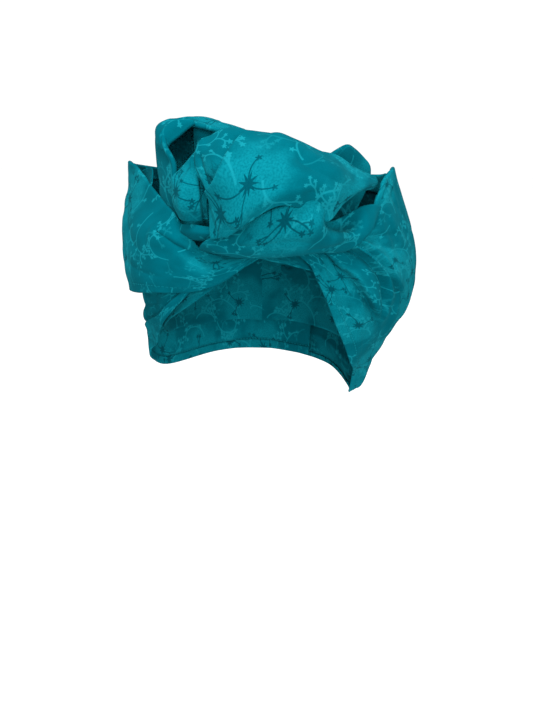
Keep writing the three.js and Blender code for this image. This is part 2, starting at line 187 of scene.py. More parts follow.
def crease(grid, kind, height, width, line, fades=(0.12, 0.3)):
    """A ridge, valley, dent or fold along a line of (along, across) shares of the cloth.

    A fold steps up on the left of its line, or on the right if its height is negative.
    """
    stops = np.array(line, dtype=float)
    path = curve_shares(len(stops), 36) @ stops
    points = at_shares(grid, path)
    normals = outward(grid)
    nearest = np.full(grid.shape[:2], 1e9)
    share = np.zeros(grid.shape[:2])
    side = np.zeros(grid.shape[:2])
    for k in range(len(points) - 1):
        step = points[k + 1] - points[k]
        length = max(step @ step, 1e-12)
        f = np.clip(((grid - points[k]) @ step) / length, 0, 1)
        away = grid - points[k] - f[:, :, None] * step
        distance = np.linalg.norm(away, axis=2)
        closer = distance < nearest
        nearest = np.where(closer, distance, nearest)
        share = np.where(closer, (k + f) / (len(points) - 1), share)
        turn = np.sum(np.cross(step, away) * normals, axis=2)
        side = np.where(closer, np.sign(turn), side)
    fade = np.clip(share / fades[0], 0, 1) * np.clip((1 - share) / fades[1], 0, 1)
    fade = fade * fade * (3 - 2 * fade)
    if kind == "fold":
        signed = nearest * side * np.sign(height)
        raised = 0.5 + 0.5 * np.tanh(signed / FOLD_STEP)
        shape = raised * np.exp(-nearest / width) - (1 - raised) * np.exp(-nearest / (0.35 * width))
    elif kind == "valley":
        shape = -np.exp(-np.sqrt(nearest ** 2 + 0.0005 ** 2) / width)
    else:
        shape = np.exp(-(nearest / width) ** 2) * (-1 if kind == "dent" else 1)
    return grid + normals * (shape * fade * abs(height))[:, :, None]


def crease_all(grid, table):
    """Every row is a kind, a height, a width, a line and, if it needs them, its fades."""
    for row in table:
        grid = crease(grid, *row)
    return grid


def ripples(grid, seed, size, height, stretch=4.0, lean=0.0):
    """Shallow ripples that mostly run along the cloth, like the pull of a tied scarf."""
    random = np.random.default_rng(seed)
    u, v = spans(grid)
    u = u * math.cos(lean) + v * math.sin(lean)
    v = v * math.cos(lean) - u * math.sin(lean)
    total = np.zeros(grid.shape[:2])
    patch = np.zeros(grid.shape[:2])
    for _ in range(9):
        wave = 2 * math.pi / (size * random.uniform(0.6, 1.7))
        slant = random.normal(0, 0.35)
        total += np.sin(wave * (v + slant * u / stretch) + wave * u / stretch * random.uniform(-1, 1)
                        + random.uniform(0, 2 * math.pi))
        patch += np.sin(wave / 3 * (u * random.uniform(-1, 1) + v * random.uniform(-1, 1))
                        + random.uniform(0, 2 * math.pi))
    total = np.tanh(total / 2.4) * (0.55 + 0.45 * np.tanh(patch / 2))
    return grid + outward(grid) * (total * height)[:, :, None]


def turn_edge(grid, first, radius, count):
    """Turns a number of columns at one edge under, as a hem or a fold, and gives the wider grid."""
    lines = grid if first else grid[:, ::-1]
    inward = -outward(grid)
    inward = inward if first else inward[:, ::-1]
    beyond = lines[:, 0] - lines[:, 2]
    beyond /= np.maximum(np.linalg.norm(beyond, axis=1, keepdims=True), 1e-9)
    folded = lines[:, count:0:-1] + inward[:, count:0:-1] * 2 * radius
    curl = []
    for angle in np.radians(CURL_ANGLES):
        curl.append(lines[:, 0] + beyond * radius * math.sin(angle)
                    + inward[:, 0] * radius * (1 - math.cos(angle)))
    whole = np.concatenate([folded, np.stack(curl, axis=1), lines], axis=1)
    return whole if first else whole[:, ::-1]


def shape_run(rows, steps, creases, ripple, edges=()):
    """A run of cloth as a smooth grid and as a finished one with creases, ripples and turned edges."""
    base = middle_of(rows, *steps)
    grid = ripples(crease_all(base, creases), *ripple)
    for edge in edges:
        base, grid = turn_edge(base, *edge), turn_edge(grid, *edge)
    return base, grid


print("kinds of crease: fold, valley, ridge and dent; also ripples and turned edges")

# %% [markdown]
# ## From points to cloth
# A grid primitive has the right build for cloth: rows and columns of quads, with a UV map. It is
# added flat, its points are moved onto the grid of the run, and the UV map is stretched to real
# lengths, so the print keeps its size. Where another run lies over it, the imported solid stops, and
# the faces past that place are deleted. Solidify then gives the cloth its thickness.

# %% Helpers for cloth
def deselect():
    bpy.ops.object.select_all(action="DESELECT")


def choose(piece):
    deselect()
    piece.select_set(True)
    bpy.context.view_layer.objects.active = piece


def finish_modifiers(piece):
    choose(piece)
    for modifier in list(piece.modifiers):
        bpy.ops.object.modifier_apply(modifier=modifier.name)


def trim_to_solid(piece, node, grid_order, base, reach):
    """Deletes the faces that are further than the reach from the run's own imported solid."""
    mesh = piece.data
    shown = np.empty(len(mesh.vertices) * 3)
    mesh.vertices.foreach_get("co", shown)
    mesh.vertices.foreach_set("co", base[grid_order].ravel())
    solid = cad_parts[node].data
    tree = BVHTree.FromPolygons([v.co for v in solid.vertices], [p.vertices for p in solid.polygons])
    far = [tree.find_nearest(p.center)[3] > reach for p in mesh.polygons]
    mesh.vertices.foreach_set("co", shown)
    mesh.vertices.foreach_set("select", [False] * len(mesh.vertices))
    mesh.edges.foreach_set("select", [False] * len(mesh.edges))
    mesh.polygons.foreach_set("select", far)
    mesh.update()
    choose(piece)
    bpy.ops.object.mode_set(mode="EDIT")
    bpy.ops.mesh.select_mode(type="FACE")
    bpy.ops.mesh.delete(type="FACE")
    bpy.ops.mesh.select_all(action="SELECT")
    bpy.ops.mesh.separate(type="LOOSE")
    bpy.ops.object.mode_set(mode="OBJECT")
    parts = sorted(bpy.context.selected_objects, key=lambda o: len(o.data.polygons))
    name = piece.name
    keep = parts.pop()
    for scrap in parts:
        bpy.data.objects.remove(scrap)
    keep.name = name
    return keep, sum(far)


def lay_cloth(name, node, grid, base=None, closed=False, reach=0.0035, turned=0.0,
              pin=((0.5, 0.5), (0, 0)), hem=True):
    """A piece of cloth on a grid of points. Its print is turned, and pinned at one (along, across) share."""
    rows, columns = grid.shape[0] - 1, grid.shape[1] - 1
    deselect()
    bpy.ops.mesh.primitive_grid_add(x_subdivisions=rows, y_subdivisions=columns, size=1)
    piece = bpy.context.object
    piece.name = name
    mesh = piece.data
    flat = np.empty(len(mesh.vertices) * 3)
    mesh.vertices.foreach_get("co", flat)
    flat = flat.reshape(-1, 3)
    i = ((flat[:, 0] + 0.5) * rows).round().astype(int)
    j = ((flat[:, 1] + 0.5) * columns).round().astype(int)
    mesh.vertices.foreach_set("co", grid[i, j].ravel())
    base = grid if base is None else base
    (pin_u, pin_v), spot = pin
    row, column = round(pin_u * rows), round(pin_v * columns)
    u, v = spans(base, row, column, even=True)
    corner = np.empty(len(mesh.loops), dtype=int)
    mesh.loops.foreach_get("vertex_index", corner)
    lengths = np.stack([u[i[corner], j[corner]], v[i[corner], j[corner]]], axis=1)
    cos, sin = math.cos(turned), math.sin(turned)
    turn = np.array([[cos, sin], [-sin, cos]])
    lengths = lengths @ turn + np.array(spot) / 1000
    mesh.uv_layers[0].name = "print"
    mesh.uv_layers[0].data.foreach_set("uv", (lengths * 10).ravel())
    across = v - v[:, HEM_COLUMN:HEM_COLUMN + 1] if hem else v * 0 + 1
    seam = np.stack([u[i[corner], j[corner]], across[i[corner], j[corner]]], axis=1)
    mesh.uv_layers.new(name="from_hem", do_init=False).data.foreach_set("uv", (seam * 10).ravel())
    mesh.update()
    area = sum(p.area for p in mesh.polygons)
    trimmed = 0
    if closed:
        choose(piece)
        bpy.ops.object.mode_set(mode="EDIT")
        bpy.ops.mesh.select_all(action="SELECT")
        bpy.ops.mesh.remove_doubles(threshold=1e-5)
        bpy.ops.object.mode_set(mode="OBJECT")
    elif reach:
        piece, trimmed = trim_to_solid(piece, node, (i, j), base, reach)
    wall = piece.modifiers.new("cloth thickness", "SOLIDIFY")
    wall.thickness = CLOTH
    wall.offset = 0
    finish_modifiers(piece)
    piece.data.shade_smooth()
    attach(piece, "root")
    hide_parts(node)
    size = (abs(np.ptp(u, axis=0)).mean(), abs(np.ptp(v, axis=1)).mean())
    print(f"{name}: {len(piece.data.polygons)} faces, {size[0]:.3f} by {size[1]:.3f} m, "
          f"area {area:.4f}, {trimmed} trimmed")
    return piece


# %% [markdown]
# ## Crown layer
# The first turn of the scarf lies straight on the head. It is a closed ring that rises to the top of
# the crown, so its two ends are merged at the back and its last row becomes one point.

# %% Crown layer
CROWN_HEM = np.array([
    # turn, hem height in shares of rise
    [-180, -1.7],
    [-135, -1.62],
    [-90, -1.4],
    [-64, -1.13],
    [-55, -1.03],
    [-39, -0.865],
    [-22, -0.68],
    [-9, -0.56],
    [0, -0.5],
    [14, -0.54],
    [28, -0.6],
    [40, -0.92],
    [52, -1.2],
    [90, -1.55],
    [135, -1.65],
    [180, -1.7],
])
NECK_TAPER = 0.1
TAPER_LENGTH = 0.1
GATHER_DEPTH = 0.0024
GATHERS = 13


def crown_grid(steps_around, steps_up):
    """The crown layer follows the head, with soft gathers that grow towards the nape."""
    turn = np.linspace(-180, 180, steps_around + 1)[:, None]
    angle = np.radians(turn)
    hem = np.interp(turn[:, 0], CROWN_HEM[:, 0], CROWN_HEM[:, 1])[:, None] * RISE
    v = np.linspace(0, 1, steps_up + 1)[None, :]
    start = (hem + CROWN_HEIGHT) / CROWN_HEIGHT
    start = np.where(start < 0, start, np.arcsin(np.clip(start, 0, 1)))
    arc = start + (math.pi / 2 - start) * v
    below = np.minimum(0, arc) * CROWN_HEIGHT
    above = np.maximum(0, arc)
    share = np.where(arc > 0, np.cos(arc), 1 - NECK_TAPER * (below / TAPER_LENGTH) ** 2)
    up = np.where(arc > 0, CROWN_HEIGHT * (np.sin(arc) - 1), below - CROWN_HEIGHT)
    back = (1 - np.cos(angle)) / 2
    gather = GATHER_DEPTH * back * (1 - v) * v * 2 * (1 + np.cos(GATHERS * angle))
    reach = HEAD_FIT + WALL / 2 + gather
    x = (HEAD_WIDTH / 2 * share + reach * np.cos(above)) * np.sin(angle)
    y = -(HEAD_LENGTH / 2 * share + reach * np.cos(above)) * np.cos(angle)
    return np.stack([x, y, up + reach * np.sin(above)], axis=2)


crown = lay_cloth("crown_cloth", "crown_layer", crown_grid(280, 100), closed=True,
                  pin=((0.5, 0.5), (20, 10)), hem=False)

# %% [markdown]
# ## Lower band on the left
# From under the wing a narrow run of the scarf goes over the left ear to the nape. Its front edge is
# a fold that stands away from the head.

# %% Left band
LEFT_BAND = [
    # hem, middle, top
    [[-33, 0.08, -0.705], [-33, 0.09, -0.67], [-33, 0.1, -0.63]],
    [[-41.5, 0.19, -0.86], [-41.5, 0.2, -0.79], [-41.5, 0.17, -0.7]],
    [[-49, 0.23, -1], [-49, 0.24, -0.9], [-49, 0.2, -0.77]],
    [[-63, 0.17, -1.2], [-63, 0.26, -1.02], [-63, 0.25, -0.84]],
    [[-77, 0.16, -1.38], [-77, 0.29, -1.18], [-77, 0.28, -0.93]],
    [[-90, 0.34, -1.55], [-90, 0.31, -1.33], [-90, 0.27, -0.97]],
    [[-104, 0.5, -1.79], [-104, 0.4, -1.45], [-104, 0.27, -1.02]],
    [[-118, 0.48, -1.98], [-118, 0.4, -1.55], [-118, 0.28, -1.07]],
    [[-150, 0.28, -2.04], [-150, 0.3, -1.6], [-150, 0.2, -1.1]],
    [[-180, 0.14, -2.04], [-180, 0.2, -1.6], [-180, 0.12, -1.12]],
    [[-215, 0.1, -2.02], [-215, 0.14, -1.6], [-215, 0.08, -1.15]],
]
BAND_CREASES = [
    ["fold", 0.0025, 0.007, [(0, 0.5), (0.12, 0.45), (0.22, 0.4), (0.36, 0.42), (0.5, 0.5)]],
    ["valley", 0.002, 0.004, [(0.2, 0.75), (0.32, 0.72), (0.45, 0.8), (0.6, 0.75)]],
    ["valley", 0.0015, 0.004, [(0.5, 0.3), (0.65, 0.4), (0.8, 0.35)]],
]
base, grid = shape_run(LEFT_BAND, (230, 64), BAND_CREASES, (21, 0.022, 0.0007),
                       [(True, HEM_RADIUS, HEM_TURN)])
left_band = lay_cloth("left_band_cloth", "left_band", grid, base, turned=0.4, pin=((0.3, 0.5), (10, 70)))

# %% [markdown]
# ## Left wing
# The widest run starts at the middle of the forehead, stands out over the left ear and goes round
# the back. Its hem is stitched, and its upper edge is rolled.

# %% Left wing
LEFT_WING = [
    # hem, belly, shoulder, rim
    [[3, -0.14, -0.47], [3, -0.13, -0.455], [3, -0.13, -0.445], [3, -0.14, -0.43]],
    [[-2, -0.15, -0.473], [-2, -0.13, -0.465], [-2, -0.13, -0.455], [-2, -0.13, -0.445]],
    [[-9, -0.08, -0.54], [-9.5, -0.07, -0.515], [-10, -0.08, -0.49], [-11, -0.12, -0.467]],
    [[-20, 0.03, -0.634], [-20, 0.04, -0.58], [-20.5, 0.01, -0.52], [-21.5, -0.06, -0.473]],
    [[-30, 0.14, -0.69], [-30, 0.15, -0.6], [-29.5, 0.1, -0.51], [-29, -0.01, -0.44]],
    [[-38, 0.22, -0.715], [-38, 0.25, -0.6], [-36, 0.19, -0.46], [-33.5, 0.06, -0.35]],
    [[-46, 0.35, -0.735], [-47, 0.38, -0.6], [-45, 0.3, -0.42], [-40, 0.08, -0.255]],
    [[-58, 0.42, -0.8], [-60, 0.46, -0.62], [-57, 0.37, -0.41], [-50, 0.07, -0.195]],
    [[-72, 0.45, -0.88], [-74, 0.49, -0.68], [-72, 0.41, -0.39], [-62, 0.09, -0.125]],
    [[-84, 0.46, -0.96], [-86, 0.52, -0.72], [-84, 0.45, -0.36], [-74, 0.2, -0.05]],
    [[-92, 0.47, -1], [-94, 0.54, -0.74], [-93, 0.46, -0.36], [-84, 0.31, -0.035]],
    [[-102, 0.48, -1.04], [-104, 0.54, -0.78], [-104, 0.46, -0.42], [-97, 0.36, -0.09]],
    [[-120, 0.46, -1.12], [-122, 0.52, -0.84], [-122, 0.38, -0.48], [-115, 0.12, -0.17]],
    [[-145, 0.36, -1.2], [-146, 0.42, -0.9], [-146, 0.24, -0.5], [-142, -0.22, -0.25]],
    [[-172, 0.26, -1.26], [-172, 0.32, -0.95], [-172, 0.12, -0.5], [-172, -0.4, -0.27]],
    [[-196, 0.24, -1.28], [-196, 0.3, -0.98], [-196, 0.1, -0.52], [-196, -0.42, -0.28]],
]
WING_CREASES = [
    # kind, height, width, line of (along, across)
    ["fold", 0.002, 0.008, [(0.43, 0.8), (0.4, 0.8), (0.365, 0.812), (0.338, 0.827), (0.3, 0.87),
                            (0.25, 0.93)], (0.5, 0.3)],
    ["ridge", 0.0018, 0.006, [(0.44, 0.74), (0.39, 0.74), (0.35, 0.74), (0.3, 0.78), (0.26, 0.86)]],
    ["valley", 0.002, 0.007, [(0.62, 0.9), (0.58, 0.75), (0.52, 0.66), (0.46, 0.55), (0.4, 0.5)]],
    ["valley", 0.0018, 0.006, [(0.56, 0.5), (0.5, 0.36), (0.42, 0.28), (0.33, 0.3)]],
    ["ridge", 0.0016, 0.007, [(0.36, 0.55), (0.28, 0.5), (0.2, 0.5), (0.13, 0.6)]],
    ["valley", 0.0035, 0.006, [(0.66, 0.95), (0.72, 0.8), (0.8, 0.7), (0.95, 0.62)]],
    ["valley", 0.003, 0.006, [(0.64, 0.55), (0.74, 0.45), (0.84, 0.42), (1, 0.36)]],
    ["fold", 0.003, 0.008, [(0.6, 0.25), (0.72, 0.2), (0.84, 0.22), (1, 0.16)]],
]
base, grid = shape_run(LEFT_WING, (280, 110), WING_CREASES, (5, 0.024, 0.0006),
                       [(True, HEM_RADIUS, HEM_TURN), (False, FOLD_RADIUS, 10)])
left_wing = lay_cloth("left_wing_cloth", "left_wing", grid, base, reach=0.0055, turned=-0.5,
                      pin=((0.4, 0.5), (75, 12)))

# %% [markdown]
# ## Right panel
# On the right the scarf comes out from under the knot in tight pleats, which open into a full bulge
# over the right ear and close again at the nape.

# %% Right panel
RIGHT_PANEL = [
    # hem, lower side, full side, upper side, rim
    [[19, -0.1, -0.46], [24, 0, -0.43], [30, 0.1, -0.39], [38, 0.14, -0.33], [47, 0.18, -0.25]],
    [[24.9, -0.03, -0.533], [29, 0.08, -0.5], [35, 0.18, -0.45], [43, 0.23, -0.37], [52, 0.23, -0.235]],
    [[27, 0.036, -0.606], [33, 0.16, -0.57], [41, 0.28, -0.5], [50, 0.34, -0.39], [58, 0.28, -0.1]],
    [[31, 0.11, -0.75], [40, 0.3, -0.7], [51, 0.44, -0.6], [61, 0.48, -0.44], [66, 0.31, -0.055]],
    [[36.5, 0.165, -0.95], [50, 0.4, -0.9], [62, 0.57, -0.76], [73, 0.63, -0.52], [73, 0.32, -0.045]],
    [[44, 0.175, -1.16], [60, 0.38, -1.1], [74, 0.68, -0.97], [82, 0.74, -0.62], [81, 0.33, -0.07]],
    [[50, 0.17, -1.33], [68, 0.27, -1.33], [83, 0.72, -1.13], [90, 0.84, -0.74], [89, 0.38, -0.11]],
    [[70, 0.02, -1.58], [85, 0.3, -1.63], [93, 0.68, -1.18], [98, 0.84, -0.77], [98, 0.42, -0.16]],
    [[80, -0.03, -1.86], [94, 0.25, -1.87], [103, 0.5, -1.24], [107, 0.72, -0.78], [107, 0.34, -0.2]],
    [[100, 0.06, -2], [112, 0.24, -1.86], [118, 0.48, -1.28], [121, 0.58, -0.76], [122, 0.12, -0.22]],
    [[130, 0.2, -2.05], [138, 0.32, -1.8], [141, 0.46, -1.3], [143, 0.5, -0.7], [144, -0.16, -0.24]],
    [[162, 0.26, -2.08], [164, 0.36, -1.82], [166, 0.46, -1.3], [167, 0.46, -0.68], [168, -0.28, -0.24]],
    [[186, 0.3, -2.08], [186, 0.38, -1.82], [186, 0.46, -1.3], [186, 0.44, -0.68], [186, -0.28, -0.235]],
    [[206, 0.4, -2.06], [205, 0.48, -1.8], [204, 0.54, -1.28], [204, 0.52, -0.68], [203, -0.16, -0.23]],
]
PANEL_CREASES = [
    # kind, height, width, line of (along, across)
    ["fold", 0.0042, 0.009, [(0, 0.38), (0.045, 0.37), (0.132, 0.35), (0.185, 0.337), (0.245, 0.305),
                             (0.295, 0.28), (0.35, 0.262), (0.43, 0.27)]],
    ["fold", 0.005, 0.008, [(0.02, 0.603), (0.075, 0.603), (0.152, 0.563), (0.212, 0.5), (0.258, 0.46),
                            (0.29, 0.393), (0.335, 0.3), (0.38, 0.25)]],
    ["fold", 0.003, 0.008, [(0.05, 0.68), (0.14, 0.647), (0.2, 0.567), (0.272, 0.5), (0.34, 0.49),
                            (0.45, 0.51)]],
    ["valley", 0.003, 0.004, [(0.06, 0.745), (0.168, 0.717), (0.232, 0.683), (0.34, 0.72)]],
    ["valley", 0.0018, 0.004, [(0.1, 0.75), (0.16, 0.755), (0.218, 0.763), (0.32, 0.783)]],
    ["ridge", 0.0025, 0.0035, [(0.31, 0.5), (0.352, 0.4), (0.395, 0.337), (0.46, 0.32)]],
    ["fold", -0.0012, 0.004, [(0.02, 0.247), (0.132, 0.177), (0.232, 0.083), (0.33, 0.05)]],
    ["valley", 0.002, 0.006, [(0.22, 0.95), (0.26, 0.88), (0.31, 0.84), (0.38, 0.8)]],
    ["valley", 0.004, 0.005, [(0.46, 0.64), (0.55, 0.66), (0.65, 0.64), (0.8, 0.66), (1, 0.6)],
     (0.3, 0.05)],
    ["fold", 0.003, 0.009, [(0.5, 0.44), (0.6, 0.45), (0.7, 0.42), (0.85, 0.45), (1, 0.4)], (0.4, 0.05)],
    ["valley", 0.0035, 0.006, [(0.5, 0.26), (0.6, 0.28), (0.75, 0.22), (1, 0.26)], (0.3, 0.05)],
    ["valley", 0.003, 0.006, [(0.42, 0.82), (0.55, 0.84), (0.7, 0.8), (0.9, 0.84)]],
]
base, grid = shape_run(RIGHT_PANEL, (250, 150), PANEL_CREASES, (8, 0.02, 0.0006),
                       [(True, HEM_RADIUS, HEM_TURN), (False, FOLD_RADIUS, 8)])
right_panel = lay_cloth("right_panel_cloth", "right_panel", grid, base, reach=0.0085, turned=0.5,
                        pin=((0.2, 0.16), (41, 48)))

# %% [markdown]
# ## Upper fold of the knot
# The knot is two big folds. The upper one springs from the brow, arches over the crown and tucks
# down behind itself. Two wrapped balls would give its outline, but not the edge where the cloth
# folds over at the left, so it is one sheet with an open lower edge.

# %% Upper fold of the knot
KNOT_UPPER_FOLD = [
    # lower edge, front, brow, top, back, seat
    [[-16, 0.4, -0.29], [-17, 0.34, -0.08], [-25, 0.14, 0.08],
     [-25, -0.06, 0.2], [-24, -0.4, 0.14], [-24, -0.9]],
    [[-9, 0.49, -0.25], [-8, 0.6, -0.12], [-10, 0.48, 0.08],
     [-14, -0.2, 0.245], [-14, -0.7, 0.16], [-14, -1.1]],
    [[-2.3, 0.58, -0.156], [-1, 0.66, -0.04], [-1, 0.5, 0.12],
     [0, -0.24, 0.23], [0, -0.84, 0.13], [0, -1.2]],
    [[6, 0.65, -0.07], [7, 0.68, 0.01], [8, 0.48, 0.14],
     [10, -0.24, 0.225], [10, -0.88, 0.11], [10, -1.2]],
    [[15.5, 0.52, -0.13], [15.5, 0.64, 0], [17, 0.44, 0.105],
     [20, -0.22, 0.185], [22, -0.84, 0.08], [22, -1.15]],
    [[21.8, 0.525, -0.19], [23.5, 0.55, -0.05], [27, 0.34, 0.06],
     [31, -0.2, 0.12], [34, -0.76, 0.03], [36, -1]],
    [[29.5, 0.43, -0.12], [32, 0.4, -0.07], [37, 0.2, 0.01],
     [40, -0.16, 0.09], [44, -0.68, -0.02], [46, -0.9]],
    [[42, 0.26, -0.1], [45, 0.28, -0.07], [48, 0.16, -0.03],
     [50, -0.06, 0], [54, -0.5, -0.1], [56, -0.7]],
    [[55, 0.2, -0.12], [57, 0.22, -0.095], [59, 0.18, -0.07],
     [62, 0.08, -0.08], [66, -0.3, -0.18], [68, -0.55]],
]
KNOT_UPPER_CREASES = [
    # kind, height, width, line of (along, across)
    ["fold", 0.005, 0.011, [(0.29, 0.6), (0.23, 0.56), (0.18, 0.52), (0.14, 0.437), (0.11, 0.367),
                            (0.06, 0.3), (0.01, 0.243)], (0.3, 0.12)],
    ["valley", 0.0025, 0.0016, [(0.02, 0.46), (0.03, 0.4), (0.035, 0.34), (0.025, 0.26)]],
    ["valley", 0.002, 0.006, [(0.44, 0.1), (0.5, 0.15), (0.56, 0.19), (0.62, 0.24)], (0.3, 0.5)],
    ["ridge", 0.002, 0.009, [(0.3, 0.56), (0.39, 0.5), (0.5, 0.44), (0.64, 0.36), (0.8, 0.3)]],
    ["valley", 0.002, 0.007, [(0.4, 0.42), (0.52, 0.34), (0.66, 0.26), (0.8, 0.2)]],
    ["ridge", 0.0015, 0.008, [(0.12, 0.1), (0.24, 0.16), (0.34, 0.26)]],
    ["valley", 0.0035, 0.006, [(0.1, 0.66), (0.3, 0.7), (0.5, 0.68), (0.75, 0.64)]],
    ["fold", 0.003, 0.008, [(0.15, 0.84), (0.35, 0.8), (0.55, 0.82), (0.8, 0.78)]],
]
base, grid = shape_run(KNOT_UPPER_FOLD, (170, 190), KNOT_UPPER_CREASES, (12, 0.03, 0.0007),
                       [(True, FOLD_RADIUS, 8)])
knot_upper = lay_cloth("knot_upper_cloth", "knot_upper_fold", grid, base, reach=0.012,
                       turned=1.98, pin=((0.22, 0.337), (30, 58)), hem=False)

# %% [markdown]
# ## Lower fold of the knot
# The lower fold is rolled under to the forehead and narrows to a strap on the right. A deep dent
# makes the pocket between the strap and the upper fold, as where a thumb pressed the cloth in.

# %% Lower fold of the knot
KNOT_LOWER_FOLD = [
    # under, low, belly, high
    [[-27, 0.06, -0.43], [-25, 0.14, -0.4], [-23, 0.18, -0.37], [-20, 0.2, -0.335]],
    [[-17, 0.06, -0.44], [-16, 0.22, -0.395], [-15, 0.3, -0.34], [-13, 0.3, -0.285]],
    [[-9, 0, -0.45], [-8, 0.22, -0.415], [-7, 0.38, -0.33], [-5, 0.38, -0.22]],
    [[-2, -0.08, -0.435], [-1.5, 0.2, -0.42], [0, 0.46, -0.3], [2, 0.5, -0.14]],
    [[5, -0.06, -0.43], [6, 0.28, -0.41], [8, 0.55, -0.27], [10, 0.56, -0.09]],
    [[13, -0.04, -0.43], [14, 0.34, -0.395], [16, 0.575, -0.26], [17.5, 0.56, -0.085]],
    [[21, 0, -0.43], [22, 0.35, -0.395], [24, 0.5, -0.29], [24.5, 0.45, -0.16]],
    [[27, 0.04, -0.435], [29, 0.32, -0.41], [32, 0.4, -0.32], [34, 0.28, -0.22]],
    [[31, 0.08, -0.435], [34, 0.3, -0.42], [40, 0.37, -0.32], [43, 0.26, -0.2]],
    [[35, 0.22, -0.43], [38, 0.32, -0.41], [46, 0.37, -0.325], [50, 0.3, -0.205]],
    [[37, 0.28, -0.425], [40, 0.31, -0.4], [47.5, 0.34, -0.335], [54.6, 0.32, -0.227]],
]
KNOT_LOWER_CREASES = [
    # kind, height, width, line of (along, across)
    ["dent", 0.013, 0.0075, [(0.54, 0.97), (0.59, 0.92), (0.66, 0.93), (0.74, 0.98), (0.82, 1)],
     (0.3, 0.3)],
    ["ridge", 0.002, 0.007, [(0.42, 0.8), (0.54, 0.74), (0.66, 0.7), (0.76, 0.76)]],
    ["valley", 0.0018, 0.005, [(0.1, 0.75), (0.25, 0.6), (0.42, 0.6), (0.6, 0.5)]],
    ["valley", 0.0015, 0.004, [(0.5, 0.4), (0.66, 0.46), (0.8, 0.6)]],
]
base, grid = shape_run(KNOT_LOWER_FOLD, (170, 80), KNOT_LOWER_CREASES, (13, 0.026, 0.0007),
                       [(False, FOLD_RADIUS, 6)])
knot_lower = lay_cloth("knot_lower_cloth", "knot_lower_fold", grid, base, reach=0.005,
                       turned=0.2, pin=((0.385, 0.76), (44, 46)), hem=False)

# %% [markdown]
# ## Tall loop
# At the upper left one turn stands up as an open loop. Its front edge is a soft roll, and behind it
# the cloth runs down to the crown. A bent tube would look alike from the front, but cloth is open at
# the back, so this is a sheet that leans over.

# %% Tall loop
TALL_LOOP = [
    # rim, outer, behind, seat
    [[-37, 0.03, -0.28], [-52, -0.04, -0.26], [-66, -0.3, -0.22], [-72, -0.62]],
    [[-38.6, 0.07, -0.18], [-57, -0.01, -0.16], [-72, -0.28, -0.12], [-78, -0.72]],
    [[-40.5, 0.07, -0.08], [-60.5, -0.02, -0.06], [-76, -0.26, -0.03], [-84, -0.8]],
    [[-41, 0.03, 0.04], [-62, -0.03, 0.06], [-80, -0.25, 0.06], [-88, -0.85]],
    [[-46, 0.05, 0.14], [-64, -0.06, 0.17], [-81, -0.3, 0.13], [-90, -0.88]],
    [[-50, -0.04, 0.23], [-66.5, -0.16, 0.235], [-82, -0.42, 0.18], [-90, -0.92]],
    [[-47, -0.3, 0.27], [-62, -0.48, 0.275], [-80, -0.72, 0.22], [-90, -1]],
    [[-38, -0.44, 0.252], [-55, -0.7, 0.272], [-70, -0.92, 0.22], [-80, -1.08]],
    [[-28, -0.48, 0.234], [-42, -0.84, 0.248], [-50, -1.06, 0.18], [-60, -1.2]],
    [[-16, -0.52, 0.2], [-18, -0.94, 0.212], [-22, -1.16, 0.12], [-30, -1.3]],
]
LOOP_CREASES = [
    # kind, height, width, line of (along, across)
    ["valley", 0.0025, 0.005, [(0.1, 0.3), (0.25, 0.36), (0.42, 0.4), (0.6, 0.5)]],
    ["fold", 0.003, 0.008, [(0.3, 0.62), (0.5, 0.6), (0.7, 0.66), (0.9, 0.6)]],
    ["valley", 0.002, 0.005, [(0.6, 0.25), (0.75, 0.3), (0.95, 0.28)]],
]
base, grid = shape_run(TALL_LOOP, (190, 90), LOOP_CREASES, (31, 0.026, 0.0007),
                       [(True, RIM_RADIUS, 9)])
tall_loop = lay_cloth("tall_loop_cloth", "tall_loop", grid, base, turned=-0.2,
                      pin=((0.5, 0.5), (8, 70)), hem=False)

# %% [markdown]
# ## Inside the loop
# A folded corner hangs inside the loop under its rim, and a folded layer shows in its hollow. Both
# belong to the loop's own run of cloth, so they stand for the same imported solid.

# %% Folded corner
LOOP_FLAP = [
    # at the rim, middle, free edge
    [[-47.5, 0.04, 0.115], [-47.5, 0.01, 0.12], [-47.3, -0.01, 0.12]],
    [[-49, 0.02, 0.2], [-47.6, 0, 0.18], [-46.1, -0.055, 0.157]],
    [[-48, -0.13, 0.262], [-46.4, -0.11, 0.23], [-44.5, -0.155, 0.194]],
    [[-44.5, -0.25, 0.275], [-43.8, -0.24, 0.255], [-42.9, -0.259, 0.231]],
    [[-41, -0.36, 0.272], [-40.8, -0.35, 0.268], [-40.6, -0.347, 0.263]],
]
grid = turn_edge(middle_of(LOOP_FLAP, 50, 30), False, FOLD_RADIUS, 5)
loop_flap = lay_cloth("loop_flap_cloth", "tall_loop", grid, reach=0, turned=0.8,
                      pin=((0.5, 0.5), (6, 14)), hem=False)

# %% Folded layer in the hollow
LOOP_LINING = [
    # folded edge, middle, far side
    [[-47.2, -0.45, 0.266], [-40, -0.53, 0.256], [-31.2, -0.624, 0.236]],
    [[-47, -0.456, 0.21], [-41, -0.51, 0.215], [-34, -0.58, 0.215]],
    [[-47.2, -0.45, 0.153], [-42, -0.47, 0.165], [-34, -0.54, 0.18]],
    [[-47, -0.44, 0.088], [-42, -0.44, 0.1], [-34, -0.5, 0.11]],
    [[-45, -0.38, -0.02], [-40, -0.4, 0], [-33, -0.44, 0.02]],
]
grid = turn_edge(middle_of(LOOP_LINING, 60, 30), True, FOLD_RADIUS, 5)
grid = ripples(grid, 33, 0.02, 0.0006)
loop_lining = lay_cloth("loop_lining_cloth", "tall_loop", grid, reach=0, turned=0.3,
                        pin=((0.5, 0.5), (30, 14)), hem=False)

